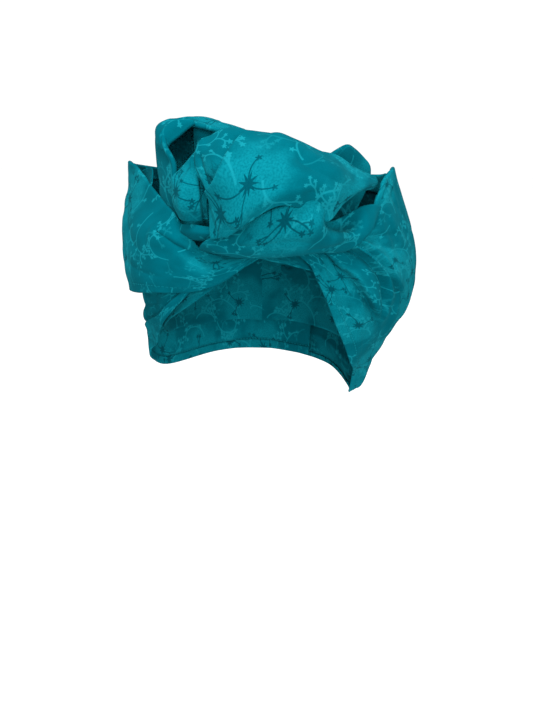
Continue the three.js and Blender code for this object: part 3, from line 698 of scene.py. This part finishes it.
# %% [markdown]
# ## Inner tuck
# The end of the scarf is folded and pushed down into the loop. It bulges forward, and its right side
# turns away from a sharp fold.

# %% Inner tuck
INNER_TUCK = [
    # far left, left side, middle, fold, right side
    [[-34.5, -0.27, 0.118], [-33.8, -0.23, 0.119], [-32.9, -0.2, 0.121],
     [-32.2, -0.22, 0.121], [-31, -0.27, 0.11]],
    [[-40, -0.14, 0.02], [-37.3, -0.02, 0.022], [-31.5, 0.06, 0.029],
     [-28.2, -0.03, 0.034], [-25, -0.04, 0.03]],
    [[-41.5, 0, -0.025], [-38, 0.1, -0.025], [-30.5, 0.17, -0.016],
     [-25.8, 0.05, -0.03], [-23, 0.04, -0.035]],
    [[-42, 0.02, -0.1], [-37.6, 0.13, -0.1], [-30, 0.22, -0.08],
     [-24.3, 0.1, -0.085], [-21.5, 0.09, -0.09]],
    [[-41, 0.03, -0.17], [-36.8, 0.15, -0.17], [-29.5, 0.24, -0.155],
     [-23.9, 0.12, -0.15], [-21.5, 0.1, -0.155]],
    [[-39, 0.02, -0.255], [-35.5, 0.1, -0.255], [-29, 0.17, -0.25],
     [-24.4, 0.07, -0.24], [-22, 0.05, -0.24]],
]
TUCK_CREASES = [
    # kind, height, width, line of (along, across)
    ["fold", -0.0025, 0.006, [(0.25, 0.76), (0.45, 0.75), (0.7, 0.76), (1, 0.76)], (0.3, 0.01)],
    ["valley", 0.0018, 0.004, [(0.1, 0.5), (0.3, 0.42), (0.5, 0.3)]],
    ["ridge", 0.0015, 0.004, [(0.5, 0.55), (0.75, 0.5), (0.95, 0.45)]],
]
_, grid = shape_run(INNER_TUCK, (90, 70), TUCK_CREASES, (41, 0.014, 0.0005))
inner_tuck = lay_cloth("inner_tuck_cloth", "inner_tuck", grid, reach=0, turned=0.7,
                       pin=((0.6, 0.4), (44, 46)), hem=False)

# %% [markdown]
# ## Side fold
# Between the loop and the knot a short roll of cloth lies on its side.

# %% Side fold
SIDE_FOLD = [
    # low, middle, high
    [[-34, 0.06, -0.37], [-35, 0.12, -0.33], [-35, 0.1, -0.29]],
    [[-27, 0.1, -0.365], [-28, 0.17, -0.315], [-28.6, 0.13, -0.27]],
    [[-19, 0.1, -0.35], [-19, 0.2, -0.3], [-19.7, 0.14, -0.27]],
    [[-12, 0.06, -0.34], [-12, 0.16, -0.29], [-12, 0.12, -0.26]],
]
grid = middle_of(SIDE_FOLD, 50, 16)
side_fold = lay_cloth("side_fold_cloth", "side_fold", grid, turned=0.1,
                      pin=((0.5, 0.5), (10, 20)), hem=False)

# %% [markdown]
# ## Rear layer
# Behind the rim of the left wing another layer stands up a little. It comes down on the crown layer.

# %% Rear layer
REAR_LAYER = [
    # seat, middle, top
    [[-92, -0.3], [-93, 0.1, -0.26], [-95, 0.26, -0.13]],
    [[-82, -0.32], [-84, 0.04, -0.23], [-87, 0.15, -0.1]],
    [[-72, -0.34], [-75, 0.01, -0.19], [-78, -0.02, -0.06]],
    [[-62, -0.36], [-65, 0.05, -0.22], [-69, 0, -0.12]],
]
_, grid = shape_run(REAR_LAYER, (60, 50), (), (51, 0.02, 0.0004))
rear_layer = lay_cloth("rear_layer_cloth", "rear_layer", grid, turned=0.3,
                       pin=((0.5, 0.5), (70, 20)), hem=False)

# %% [markdown]
# ## Back fold
# Behind the knot on the right a ridge of cloth rises, like a tent, and both its sides come down on
# the crown layer.

# %% Back fold
BACK_FOLD = [
    # front seat, ridge, back seat
    [[56, -0.66], [60, -0.56, 0.02], [70, -0.8]],
    [[62, -0.6], [67, -0.46, 0.06], [84, -0.72]],
    [[68, -0.52], [76, -0.33, 0.088], [98, -0.62]],
    [[72, -0.44], [81, -0.22, 0.055], [104, -0.54]],
    [[76, -0.36], [85, -0.08, -0.01], [106, -0.46]],
    [[78, -0.3], [87, 0.02, -0.07], [106, -0.38]],
    [[80, -0.22], [86, 0.03, -0.16], [102, -0.26]],
]
_, grid = shape_run(BACK_FOLD, (80, 60), (), (61, 0.02, 0.0004))
back_fold = lay_cloth("back_fold_cloth", "back_fold", grid, turned=-0.6,
                      pin=((0.5, 0.5), (14, 80)), hem=False)

# %% [markdown]
# ## The print
# The cotton is printed tone on tone: pale vines with small blossoms, and here and there a mottled
# light patch with dark star flowers and berries. An image would be the usual way, but a pattern that
# is drawn by nodes stays sharp at any distance. Each stem is an arc of a circle, because the distance
# to an arc takes a few nodes, and each blossom is a circle with five lobes. One tile holds them all.
# It repeats as cloth prints do, in a half drop, with every second tile turned round.

# %% Helpers for nodes
def add_node(tree, kind, inputs=(), **settings):
    """A node with its settings, and its inputs as numbers or links."""
    node = tree.nodes.new(kind)
    for name, value in settings.items():
        setattr(node, name, value)
    for socket, value in zip(node.inputs, inputs):
        if isinstance(value, bpy.types.NodeSocket):
            tree.links.new(value, socket)
        elif value is not None:
            socket.default_value = value
    return node


def maths(tree, operation, *inputs):
    return add_node(tree, "ShaderNodeMath", inputs, operation=operation).outputs[0]


def vectors(tree, operation, *inputs):
    node = add_node(tree, "ShaderNodeVectorMath", inputs, operation=operation)
    number = operation in ("LENGTH", "DISTANCE", "DOT_PRODUCT")
    return node.outputs["Value" if number else "Vector"]


def scaled(tree, vector, factor):
    node = add_node(tree, "ShaderNodeVectorMath", (vector,), operation="SCALE")
    if isinstance(factor, bpy.types.NodeSocket):
        tree.links.new(factor, node.inputs["Scale"])
    else:
        node.inputs["Scale"].default_value = factor
    return node.outputs["Vector"]


def soft_step(tree, value, start, end, low=0.0, high=1.0):
    """Goes softly from low to high while the value goes from start to end."""
    return add_node(tree, "ShaderNodeMapRange", (value, start, end, low, high),
                    interpolation_type="SMOOTHSTEP").outputs["Result"]


def noise(tree, vector, scale, detail=2.0):
    return add_node(tree, "ShaderNodeTexNoise", (vector, None, scale, detail))


# %% [markdown]
# ## Where the stems grow
# A designer of prints draws a few limbs and lets twigs fork from them. Here a seeded random draw
# does that: each limb bends, carries a twig and forks, until its last twigs carry blossoms.

# %% Where the stems grow
TILE = 58
BLOSSOM = 1.2
VINE_SEED = 6
VINES = [
    # x, y, heading in degrees, length, forks, turn
    (9, 4, 95, 20, 2, -1),
    (52, 8, 125, 17, 1, 1),
    (30, 52, 200, 14, 1, 1),
    (47, 40, 80, 12, 0, -1),
    (28, 6, 40, 10, 0, 1),
]
FAINT_VINES = [
    # x, y, heading in degrees, length, forks, turn
    (8, 10, 60, 17, 1, 1),
    (50, 44, 250, 14, 1, -1),
    (14, 50, 330, 12, 0, 1),
]


def arc_from(x, y, heading, radius, turn):
    """An arc of a circle that leaves a point in a direction: centre, radius, start, turn, heading."""
    side = math.copysign(1, turn)
    centre_x = x - side * radius * math.sin(heading)
    centre_y = y + side * radius * math.cos(heading)
    return centre_x, centre_y, radius, math.atan2(y - centre_y, x - centre_x), turn, heading


def on_arc(arc, share):
    """The point and the heading at a share of an arc."""
    x, y, radius, start, turn, heading = arc
    angle = start + turn * share
    return x + radius * math.cos(angle), y + radius * math.sin(angle), heading + turn * share


def grow_tips(random, arcs, blossoms, x, y, heading, count):
    """Short twigs that each carry a blossom."""
    for k in range(count):
        lean = math.radians((k - (count - 1) / 2) * random.uniform(38, 55))
        bend = math.copysign(math.radians(random.uniform(20, 40)), lean or 1)
        arcs.append(arc_from(x, y, heading + lean, random.uniform(2.6, 4.2) / abs(bend), bend))
        end_x, end_y, _ = on_arc(arcs[-1], 1)
        blossoms.append((end_x, end_y, random.uniform(0.85, 1.15) * BLOSSOM))


def grow_limb(random, arcs, blossoms, x, y, heading, length, forks, turn):
    """A limb with a side twig, which forks until its last limbs carry blossoms."""
    bend = math.radians(turn * random.uniform(45, 85))
    limb = arc_from(x, y, heading, length / abs(bend), bend)
    arcs.append(limb)
    twig_x, twig_y, twig_heading = on_arc(limb, random.uniform(0.4, 0.65))
    grow_tips(random, arcs, blossoms, twig_x, twig_y, twig_heading - turn * math.radians(45), 1)
    x, y, heading = on_arc(limb, 1)
    if forks == 0:
        grow_tips(random, arcs, blossoms, x, y, heading, int(random.integers(2, 4)))
        return
    lean = turn * math.radians(random.uniform(8, 20))
    share = random.uniform(0.62, 0.8)
    grow_limb(random, arcs, blossoms, x, y, heading - lean, length * share, forks - 1, turn)
    lean = turn * math.radians(random.uniform(45, 70))
    share = random.uniform(0.5, 0.65)
    grow_limb(random, arcs, blossoms, x, y, heading - lean, length * share, forks - 1, -turn)


def grow_vines(plan, seed):
    """All arcs and blossoms of a plan of vines."""
    random = np.random.default_rng(seed)
    arcs, blossoms = [], []
    for x, y, heading, length, forks, turn in plan:
        grow_limb(random, arcs, blossoms, x, y, math.radians(heading), length, forks, turn)
    print("vines:", len(arcs), "arcs and", len(blossoms), "blossoms")
    return arcs, blossoms


vines = grow_vines(VINES, VINE_SEED)
faint_vines = grow_vines(FAINT_VINES, VINE_SEED)

# %% [markdown]
# ## Dark star flowers
# The star flowers are few and large, so they have a tile of their own, which is bigger. They only
# show where the cloth has a light patch. Their stems are a table, because a few stars in chosen
# places look more drawn than random ones.

# %% Dark star flowers
STAR_TILE = 92
STARS = [
    # x, y, radius
    (30, 58, 5),
    (44, 46, 4.8),
    (74, 66, 4.4),
]
STAR_STEMS = [
    # x, y, heading, length, turn in degrees, berries
    (30, 58, -10, 17, 35, 2),
    (30, 58, -48, 15, -30, 1),
    (30, 58, 62, 13, 50, 1),
    (30, 58, 200, 12, -40, 1),
    (44, 46, 14, 16, -42, 2),
    (44, 46, -30, 12, 30, 1),
    (44, 46, 80, 10, 40, 1),
    (44, 46, 215, 14, 30, 2),
    (44, 46, 260, 12, -40, 1),
    (74, 66, 200, 12, 40, 1),
    (74, 66, 120, 12, -30, 2),
    (20, 30, 70, 13, -40, 2),
]
BERRY = 1.45

star_arcs, star_berries = [], []
star_random = np.random.default_rng(3)
for x, y, heading, length, turn, count in STAR_STEMS:
    turn = math.radians(turn)
    star_arcs.append(arc_from(x, y, math.radians(heading), length / abs(turn), turn))
    end_x, end_y, end_heading = on_arc(star_arcs[-1], 1)
    star_berries.append((end_x, end_y, BERRY))
    if count > 1:
        fork_x, fork_y, fork_heading = on_arc(star_arcs[-1], 0.6)
        side = math.copysign(math.radians(40), -turn)
        star_arcs.append(arc_from(fork_x, fork_y, fork_heading + side, 8, -side))
        end_x, end_y, _ = on_arc(star_arcs[-1], 0.9)
        star_berries.append((end_x, end_y, BERRY))
print("stars:", len(star_arcs), "stems and", len(star_berries), "berries")

# %% [markdown]
# ## Shapes as node groups
# Each group gives the distance to one shape, or the distance so far if that is less. So groups can
# be chained, and the last one holds the distance to the nearest stem, blossom or star. The radius of
# a flower goes up and down with the angle round its middle, which gives lobes and rays.

# %% Shapes as node groups
def new_group(name, inputs, outputs):
    """An empty node group and its inputs by name."""
    group = bpy.data.node_groups.new(name, "ShaderNodeTree")
    for title, kind in inputs:
        group.interface.new_socket(title, in_out="INPUT", socket_type="NodeSocket" + kind)
    for title in outputs:
        group.interface.new_socket(title, in_out="OUTPUT", socket_type="NodeSocketFloat")
    entry = group.nodes.new("NodeGroupInput")
    return group, {socket.name: socket for socket in entry.outputs if socket.name}


def close_group(group, *values):
    exit_node = group.nodes.new("NodeGroupOutput")
    for socket, value in zip(exit_node.inputs, values):
        group.links.new(value, socket)
    return group


def use_group(tree, group, *inputs):
    return add_node(tree, "ShaderNodeGroup", inputs, node_tree=group).outputs


def lobes_round(tree, away, count):
    """Goes up and down a number of times round a middle. Dot products give x and y."""
    x = vectors(tree, "DOT_PRODUCT", away, (1, 0, 0))
    y = vectors(tree, "DOT_PRODUCT", away, (0, 1, 0))
    angle = maths(tree, "ARCTAN2", y, x)
    return maths(tree, "COSINE", maths(tree, "MULTIPLY", angle, count))


def arc_shape():
    """Distance to an arc of a circle, or the distance so far if that is less."""
    tree, given = new_group("distance to an arc", [
        ("Point", "Vector"), ("Centre", "Vector"), ("Middle", "Vector"),
        ("Radius", "Float"), ("Limit", "Float"), ("So far", "Float")], ["Distance"])
    away = vectors(tree, "SUBTRACT", given["Point"], given["Centre"])
    length = vectors(tree, "LENGTH", away)
    ahead = vectors(tree, "DOT_PRODUCT", away, given["Middle"])
    outside = maths(tree, "LESS_THAN", ahead, maths(tree, "MULTIPLY", length, given["Limit"]))
    distance = maths(tree, "ABSOLUTE", maths(tree, "SUBTRACT", length, given["Radius"]))
    distance = maths(tree, "MULTIPLY_ADD", outside, 99, distance)
    return close_group(tree, maths(tree, "MINIMUM", distance, given["So far"]))


def blossom_shape():
    """Distance to the edge of a blossom with five lobes, or the distance so far if that is less."""
    tree, given = new_group("distance to a blossom", [
        ("Point", "Vector"), ("Centre", "Vector"), ("Radius", "Float"), ("So far", "Float")], ["Distance"])
    away = vectors(tree, "SUBTRACT", given["Point"], given["Centre"])
    edge = maths(tree, "MULTIPLY_ADD", lobes_round(tree, away, 5), 0.3, 0.8)
    edge = maths(tree, "MULTIPLY", edge, given["Radius"])
    distance = maths(tree, "SUBTRACT", vectors(tree, "LENGTH", away), edge)
    return close_group(tree, maths(tree, "MINIMUM", distance, given["So far"]))


def star_shape():
    """Distance to the edge of a star flower with nine rays, and to its middle."""
    tree, given = new_group("distance to a star flower", [
        ("Point", "Vector"), ("Centre", "Vector"), ("Radius", "Float"),
        ("So far", "Float"), ("Middle so far", "Float")], ["Distance", "Middle"])
    away = vectors(tree, "SUBTRACT", given["Point"], given["Centre"])
    length = vectors(tree, "LENGTH", away)
    between = maths(tree, "ABSOLUTE", lobes_round(tree, away, 4.5))
    ray = maths(tree, "POWER", maths(tree, "SUBTRACT", 1, between), 1.2)
    edge = maths(tree, "MULTIPLY", maths(tree, "MULTIPLY_ADD", ray, 0.58, 0.42), given["Radius"])
    nearest = maths(tree, "MINIMUM", maths(tree, "SUBTRACT", length, edge), given["So far"])
    middle = maths(tree, "MINIMUM", length, given["Middle so far"])
    return close_group(tree, nearest, middle)


FAR = 99.0
ARC = arc_shape()
BLOSSOM_SHAPE = blossom_shape()
STAR = star_shape()


def near_arcs(tree, point, arcs):
    nearest = FAR
    for x, y, radius, start, turn, _ in arcs:
        middle = start + turn / 2
        towards = (math.cos(middle), math.sin(middle), 0)
        limit = math.cos(abs(turn) / 2)
        nearest = use_group(tree, ARC, point, (x, y, 0), towards, radius, limit, nearest)[0]
    return nearest


def near_blossoms(tree, point, blossoms):
    nearest = FAR
    for x, y, radius in blossoms:
        nearest = use_group(tree, BLOSSOM_SHAPE, point, (x, y, 0), radius, nearest)[0]
    return nearest


def near_stars(tree, point, stars):
    nearest, middle = FAR, FAR
    for x, y, radius in stars:
        nearest, middle = use_group(tree, STAR, point, (x, y, 0), radius, nearest, middle)
    return nearest, middle


def tile_place(tree, cloth, size):
    """The place inside one tile of a half-drop repeat, in millimetres. Every second tile is turned."""
    steps = scaled(tree, cloth, 1 / size)
    column = maths(tree, "FLOOR", vectors(tree, "DOT_PRODUCT", steps, (1, 0, 0)))
    drop = maths(tree, "MULTIPLY", maths(tree, "FLOORED_MODULO", column, 2), 0.5)
    dropped = vectors(tree, "ADD", steps, scaled(tree, (0, 1, 0), drop))
    cell = vectors(tree, "FLOOR", dropped)
    local = vectors(tree, "SUBTRACT", vectors(tree, "SUBTRACT", dropped, cell), (0.5, 0.5, 0))
    odd = maths(tree, "FLOORED_MODULO", vectors(tree, "DOT_PRODUCT", cell, (1, 1, 0)), 2)
    turned = scaled(tree, local, maths(tree, "MULTIPLY_ADD", odd, -2, 1))
    return vectors(tree, "MULTIPLY", vectors(tree, "ADD", turned, (0.5, 0.5, 0)), (size, size, 0))


def vine_print(name, tile, arcs, spots):
    """How much pale print there is at a place on the cloth."""
    tree, given = new_group(name, [("Cloth", "Vector")], ["Print"])
    place_in_tile = tile_place(tree, given["Cloth"], tile)
    stems = soft_step(tree, near_arcs(tree, place_in_tile, arcs), 0.2, 0.75, 0.85, 0)
    blossoms = soft_step(tree, near_blossoms(tree, place_in_tile, spots), -0.1, 0.4, 1, 0)
    return close_group(tree, maths(tree, "MAXIMUM", stems, blossoms))


def star_print():
    """How much dark print there is at a place, and how far the nearest star flower is."""
    tree, given = new_group("star flowers", [("Cloth", "Vector")], ["Print", "Middle"])
    place_in_tile = tile_place(tree, given["Cloth"], STAR_TILE)
    edge, middle = near_stars(tree, place_in_tile, STARS)
    stems = soft_step(tree, near_arcs(tree, place_in_tile, star_arcs), 0.15, 0.5, 1, 0)
    berries = soft_step(tree, near_blossoms(tree, place_in_tile, star_berries), -0.2, 0.3, 1, 0)
    stars = soft_step(tree, edge, -0.2, 0.5, 1, 0)
    dark = maths(tree, "MAXIMUM", maths(tree, "MAXIMUM", stems, berries), stars)
    return close_group(tree, dark, middle)


VINE_PRINT = vine_print("vines", TILE, *vines)
FAINT_PRINT = vine_print("faint vines", TILE, *faint_vines)
STAR_PRINT = star_print()
print("node groups:", ", ".join(g.name for g in bpy.data.node_groups))

# %% [markdown]
# ## Printed cotton
# The cloth is dyed teal cotton twill, matt, with a pale overprint. Its colour is built up in the
# order of the real work: dye with soft blotches, light patches with a grain, faint vines, strong
# vines, and dark stars on the patches. The hem gets a row of stitches in a shallow groove, and the
# groove is darkened with painted shade. Twill and grain are bump only, because threads of a third
# of a millimetre are too fine for the mesh.

# %% Printed cotton
TEAL = (0.0, 0.056, 0.075, 1)
PALE_TEAL = (0.003, 0.12, 0.148, 1)
DARK_TEAL = (0.0, 0.021, 0.031, 1)
PATCH_TEAL = (0.001, 0.09, 0.114, 1)
SHEEN_TEAL = (0.1, 0.75, 0.8, 1)
STITCH_LINE = 5.2
STITCH_LENGTH = 3.1


def mixed(tree, factor, one, other):
    """Goes from one colour to the other with the factor."""
    node = tree.nodes.new("ShaderNodeMix")
    node.data_type = "RGBA"
    colours = [socket for socket in node.inputs if socket.type == "RGBA"]
    for socket, value in zip([node.inputs[0]] + colours, (factor, one, other)):
        if isinstance(value, bpy.types.NodeSocket):
            tree.links.new(value, socket)
        else:
            socket.default_value = value
    return next(socket for socket in node.outputs if socket.type == "RGBA")


def printed_cotton(name, base, pale, dark, patch_colour):
    """Tone on tone printed cotton: vines, star flowers, mottling, twill, stitches with painted shade in
    their groove, and a little sheen.
    """
    material = bpy.data.materials.new(name)
    material.use_nodes = True
    tree = material.node_tree
    shader = tree.nodes["Principled BSDF"]
    shader.inputs["Roughness"].default_value = 0.9
    shader.inputs["Specular IOR Level"].default_value = 0
    shader.inputs["Specular Tint"].default_value = SHEEN_TEAL
    shader.inputs["Sheen Weight"].default_value = 0.03
    shader.inputs["Sheen Roughness"].default_value = 0.5
    shader.inputs["Sheen Tint"].default_value = SHEEN_TEAL
    lengths = add_node(tree, "ShaderNodeTexCoord").outputs["UV"]
    cloth = scaled(tree, lengths, 100)
    drift = noise(tree, cloth, 0.016, 1).outputs["Color"]
    drift = scaled(tree, vectors(tree, "SUBTRACT", drift, (0.5, 0.5, 0.5)), 12)
    drawn = vectors(tree, "ADD", cloth, drift)

    dark_print, star_middle = use_group(tree, STAR_PRINT, drawn)
    blur = noise(tree, cloth, 0.07, 3).outputs[0]
    patch_edge = maths(tree, "MULTIPLY_ADD", blur, 26, star_middle)
    patch = soft_step(tree, patch_edge, 24, 38, 1, 0)
    grain = noise(tree, cloth, 1.1, 2).outputs[0]
    patch_grain = maths(tree, "MULTIPLY", patch, soft_step(tree, grain, 0.3, 0.62, 0.35, 1))

    strong = use_group(tree, VINE_PRINT, drawn)[0]
    turned = add_node(tree, "ShaderNodeMapping", (drawn, (17, 31, 0), (0, 0, 2.2), (1.18, 1.18, 1)))
    faint = use_group(tree, FAINT_PRINT, turned.outputs[0])[0]

    shade = tuple(c * 0.86 for c in base[:3]) + (1,)
    colour = mixed(tree, soft_step(tree, blur, 0.3, 0.7, 0, 1), base, shade)
    colour = mixed(tree, patch_grain, colour, patch_colour)
    colour = mixed(tree, maths(tree, "MULTIPLY", faint, 0.35), colour, pale)
    colour = mixed(tree, maths(tree, "MULTIPLY", strong, 0.75), colour, pale)
    on_patch = maths(tree, "MULTIPLY", dark_print, maths(tree, "MULTIPLY", patch, 0.8))
    colour = mixed(tree, on_patch, colour, dark)

    from_hem = scaled(tree, add_node(tree, "ShaderNodeUVMap", uv_map="from_hem").outputs[0], 100)
    along = vectors(tree, "DOT_PRODUCT", from_hem, (1 / STITCH_LENGTH, 0, 0))
    beat = maths(tree, "SINE", maths(tree, "MULTIPLY", along, 2 * math.pi))
    inwards = vectors(tree, "DOT_PRODUCT", from_hem, (0, 1, 0))
    off_line = maths(tree, "ABSOLUTE", maths(tree, "SUBTRACT", inwards, STITCH_LINE))
    line = soft_step(tree, off_line, 0.12, 0.42, 1, 0)
    thread = maths(tree, "MULTIPLY", line, soft_step(tree, beat, -0.75, -0.35, 0, 1))
    # The groove is sunk as bump and darkened in colour: the darkening is painted shade in the groove.
    groove_and_painted_shade = soft_step(tree, off_line, 0, 1.3, 1, 0)
    colour = mixed(tree, maths(tree, "MULTIPLY", groove_and_painted_shade, 0.3), colour, dark)
    colour = mixed(tree, maths(tree, "MULTIPLY", thread, 0.6), colour, pale)
    tree.links.new(colour, shader.inputs["Base Color"])

    twill = add_node(tree, "ShaderNodeTexWave", (cloth, 1.4, 0.6, 1.0), bands_direction="DIAGONAL")
    height = maths(tree, "MULTIPLY_ADD", grain, 0.8, maths(tree, "MULTIPLY", twill.outputs[1], 0.35))
    height = maths(tree, "MULTIPLY_ADD", thread, 0.8, maths(tree, "SUBTRACT", height, groove_and_painted_shade))
    bump = add_node(tree, "ShaderNodeBump")
    bump.inputs["Strength"].default_value = 0.25
    bump.inputs["Distance"].default_value = 0.0004
    tree.links.new(height, bump.inputs["Height"])
    tree.links.new(bump.outputs[0], shader.inputs["Normal"])
    print(name, "has", len(tree.nodes), "nodes")
    return material


printed = printed_cotton("printed_cotton", TEAL, PALE_TEAL, DARK_TEAL, PATCH_TEAL)

# %% [markdown]
# ## Dressing the pieces
# One scarf is one cloth, so every piece gets the same material. The table names a slot for each
# piece, inner_cloth for the crown layer because it shows its inside, and the size of its cut, but
# only the cut sizes are read, for the total area.

# %% Dress every piece
CUTS = [
    # piece, slot, width and length before it was wrapped, how it is held, what it rests on
    (crown, "inner_cloth", (0.16, 0.56), "stretched", []),
    (left_band, "printed_cloth", (0.075, 0.35), "folded", [crown]),
    (left_wing, "printed_cloth", (0.1, 0.36), "folded", [left_band, crown]),
    (right_panel, "printed_cloth", (0.19, 0.36), "gathered", [left_wing, crown]),
    (knot_upper, "printed_cloth", (0.12, 0.13), "gathered", [crown]),
    (knot_lower, "printed_cloth", (0.05, 0.125), "folded", [left_wing, right_panel]),
    (tall_loop, "printed_cloth", (0.095, 0.105), "folded", [crown]),
    (loop_flap, "printed_cloth", (0.0105, 0.026), "folded", [tall_loop]),
    (loop_lining, "printed_cloth", (0.02, 0.028), "folded", [tall_loop]),
    (inner_tuck, "printed_cloth", (0.036, 0.047), "folded", [side_fold]),
    (side_fold, "printed_cloth", (0.011, 0.036), "folded", [left_wing]),
    (rear_layer, "printed_cloth", (0.038, 0.048), "folded", [crown]),
    (back_fold, "printed_cloth", (0.06, 0.07), "folded", [crown]),
]
for piece, slot, flat, held, under in CUTS:
    piece.data.materials.clear()
    piece.data.materials.append(printed)
print(len(CUTS), "pieces of cloth, cut from", round(sum(w * l for _, _, (w, l), _, _ in CUTS), 3), "m2")

# %% [markdown]
# ## Studio
# A plain pale floor runs far out. Soft light comes from a lamp above the brow, a wide one in front
# and a weak one on the right, and from the pale room all round, as in a light tent.

# %% Floor
FLOOR_HEIGHT = -0.9
FLOOR_SIZE = 12
FLOOR_WHITE = (0.97, 0.97, 0.97, 1)
deselect()
bpy.ops.mesh.primitive_plane_add(size=FLOOR_SIZE, location=(0, 0, FLOOR_HEIGHT))
floor = bpy.context.object
floor.name = "studio_floor"
white = bpy.data.materials.new("pale_floor")
white.use_nodes = True
floor_shader = white.node_tree.nodes["Principled BSDF"]
floor_shader.inputs["Base Color"].default_value = FLOOR_WHITE
floor_shader.inputs["Roughness"].default_value = 0.9
floor.data.materials.append(white)
print("floor at", FLOOR_HEIGHT)

# %% Light
ROOM_LIGHT = 1.05
world = bpy.data.worlds.new("pale room")
world.use_nodes = True
world.node_tree.nodes["Background"].inputs["Color"].default_value = (1, 1, 1, 1)
world.node_tree.nodes["Background"].inputs["Strength"].default_value = ROOM_LIGHT
bpy.context.scene.world = world
bpy.context.scene.view_settings.view_transform = "Standard"

LAMPS = [
    # name, place, size, power
    ("key", (-0.1, -0.42, 0.95), 0.3, 20),
    ("front", (0.1, -1, 0.3), 0.5, 15),
    ("fill", (0.9, -0.7, 0.3), 0.8, 3),
]
for name, spot, size, power in LAMPS:
    bpy.ops.object.light_add(type="AREA", location=spot)
    lamp = bpy.context.object
    lamp.name = name
    lamp.data.size = size
    lamp.data.energy = power
    aim = Vector((0, 0, -0.06)) - Vector(spot)
    lamp.rotation_euler = aim.to_track_quat("-Z", "Y").to_euler()
print("lamps:", ", ".join(lamp[0] for lamp in LAMPS))
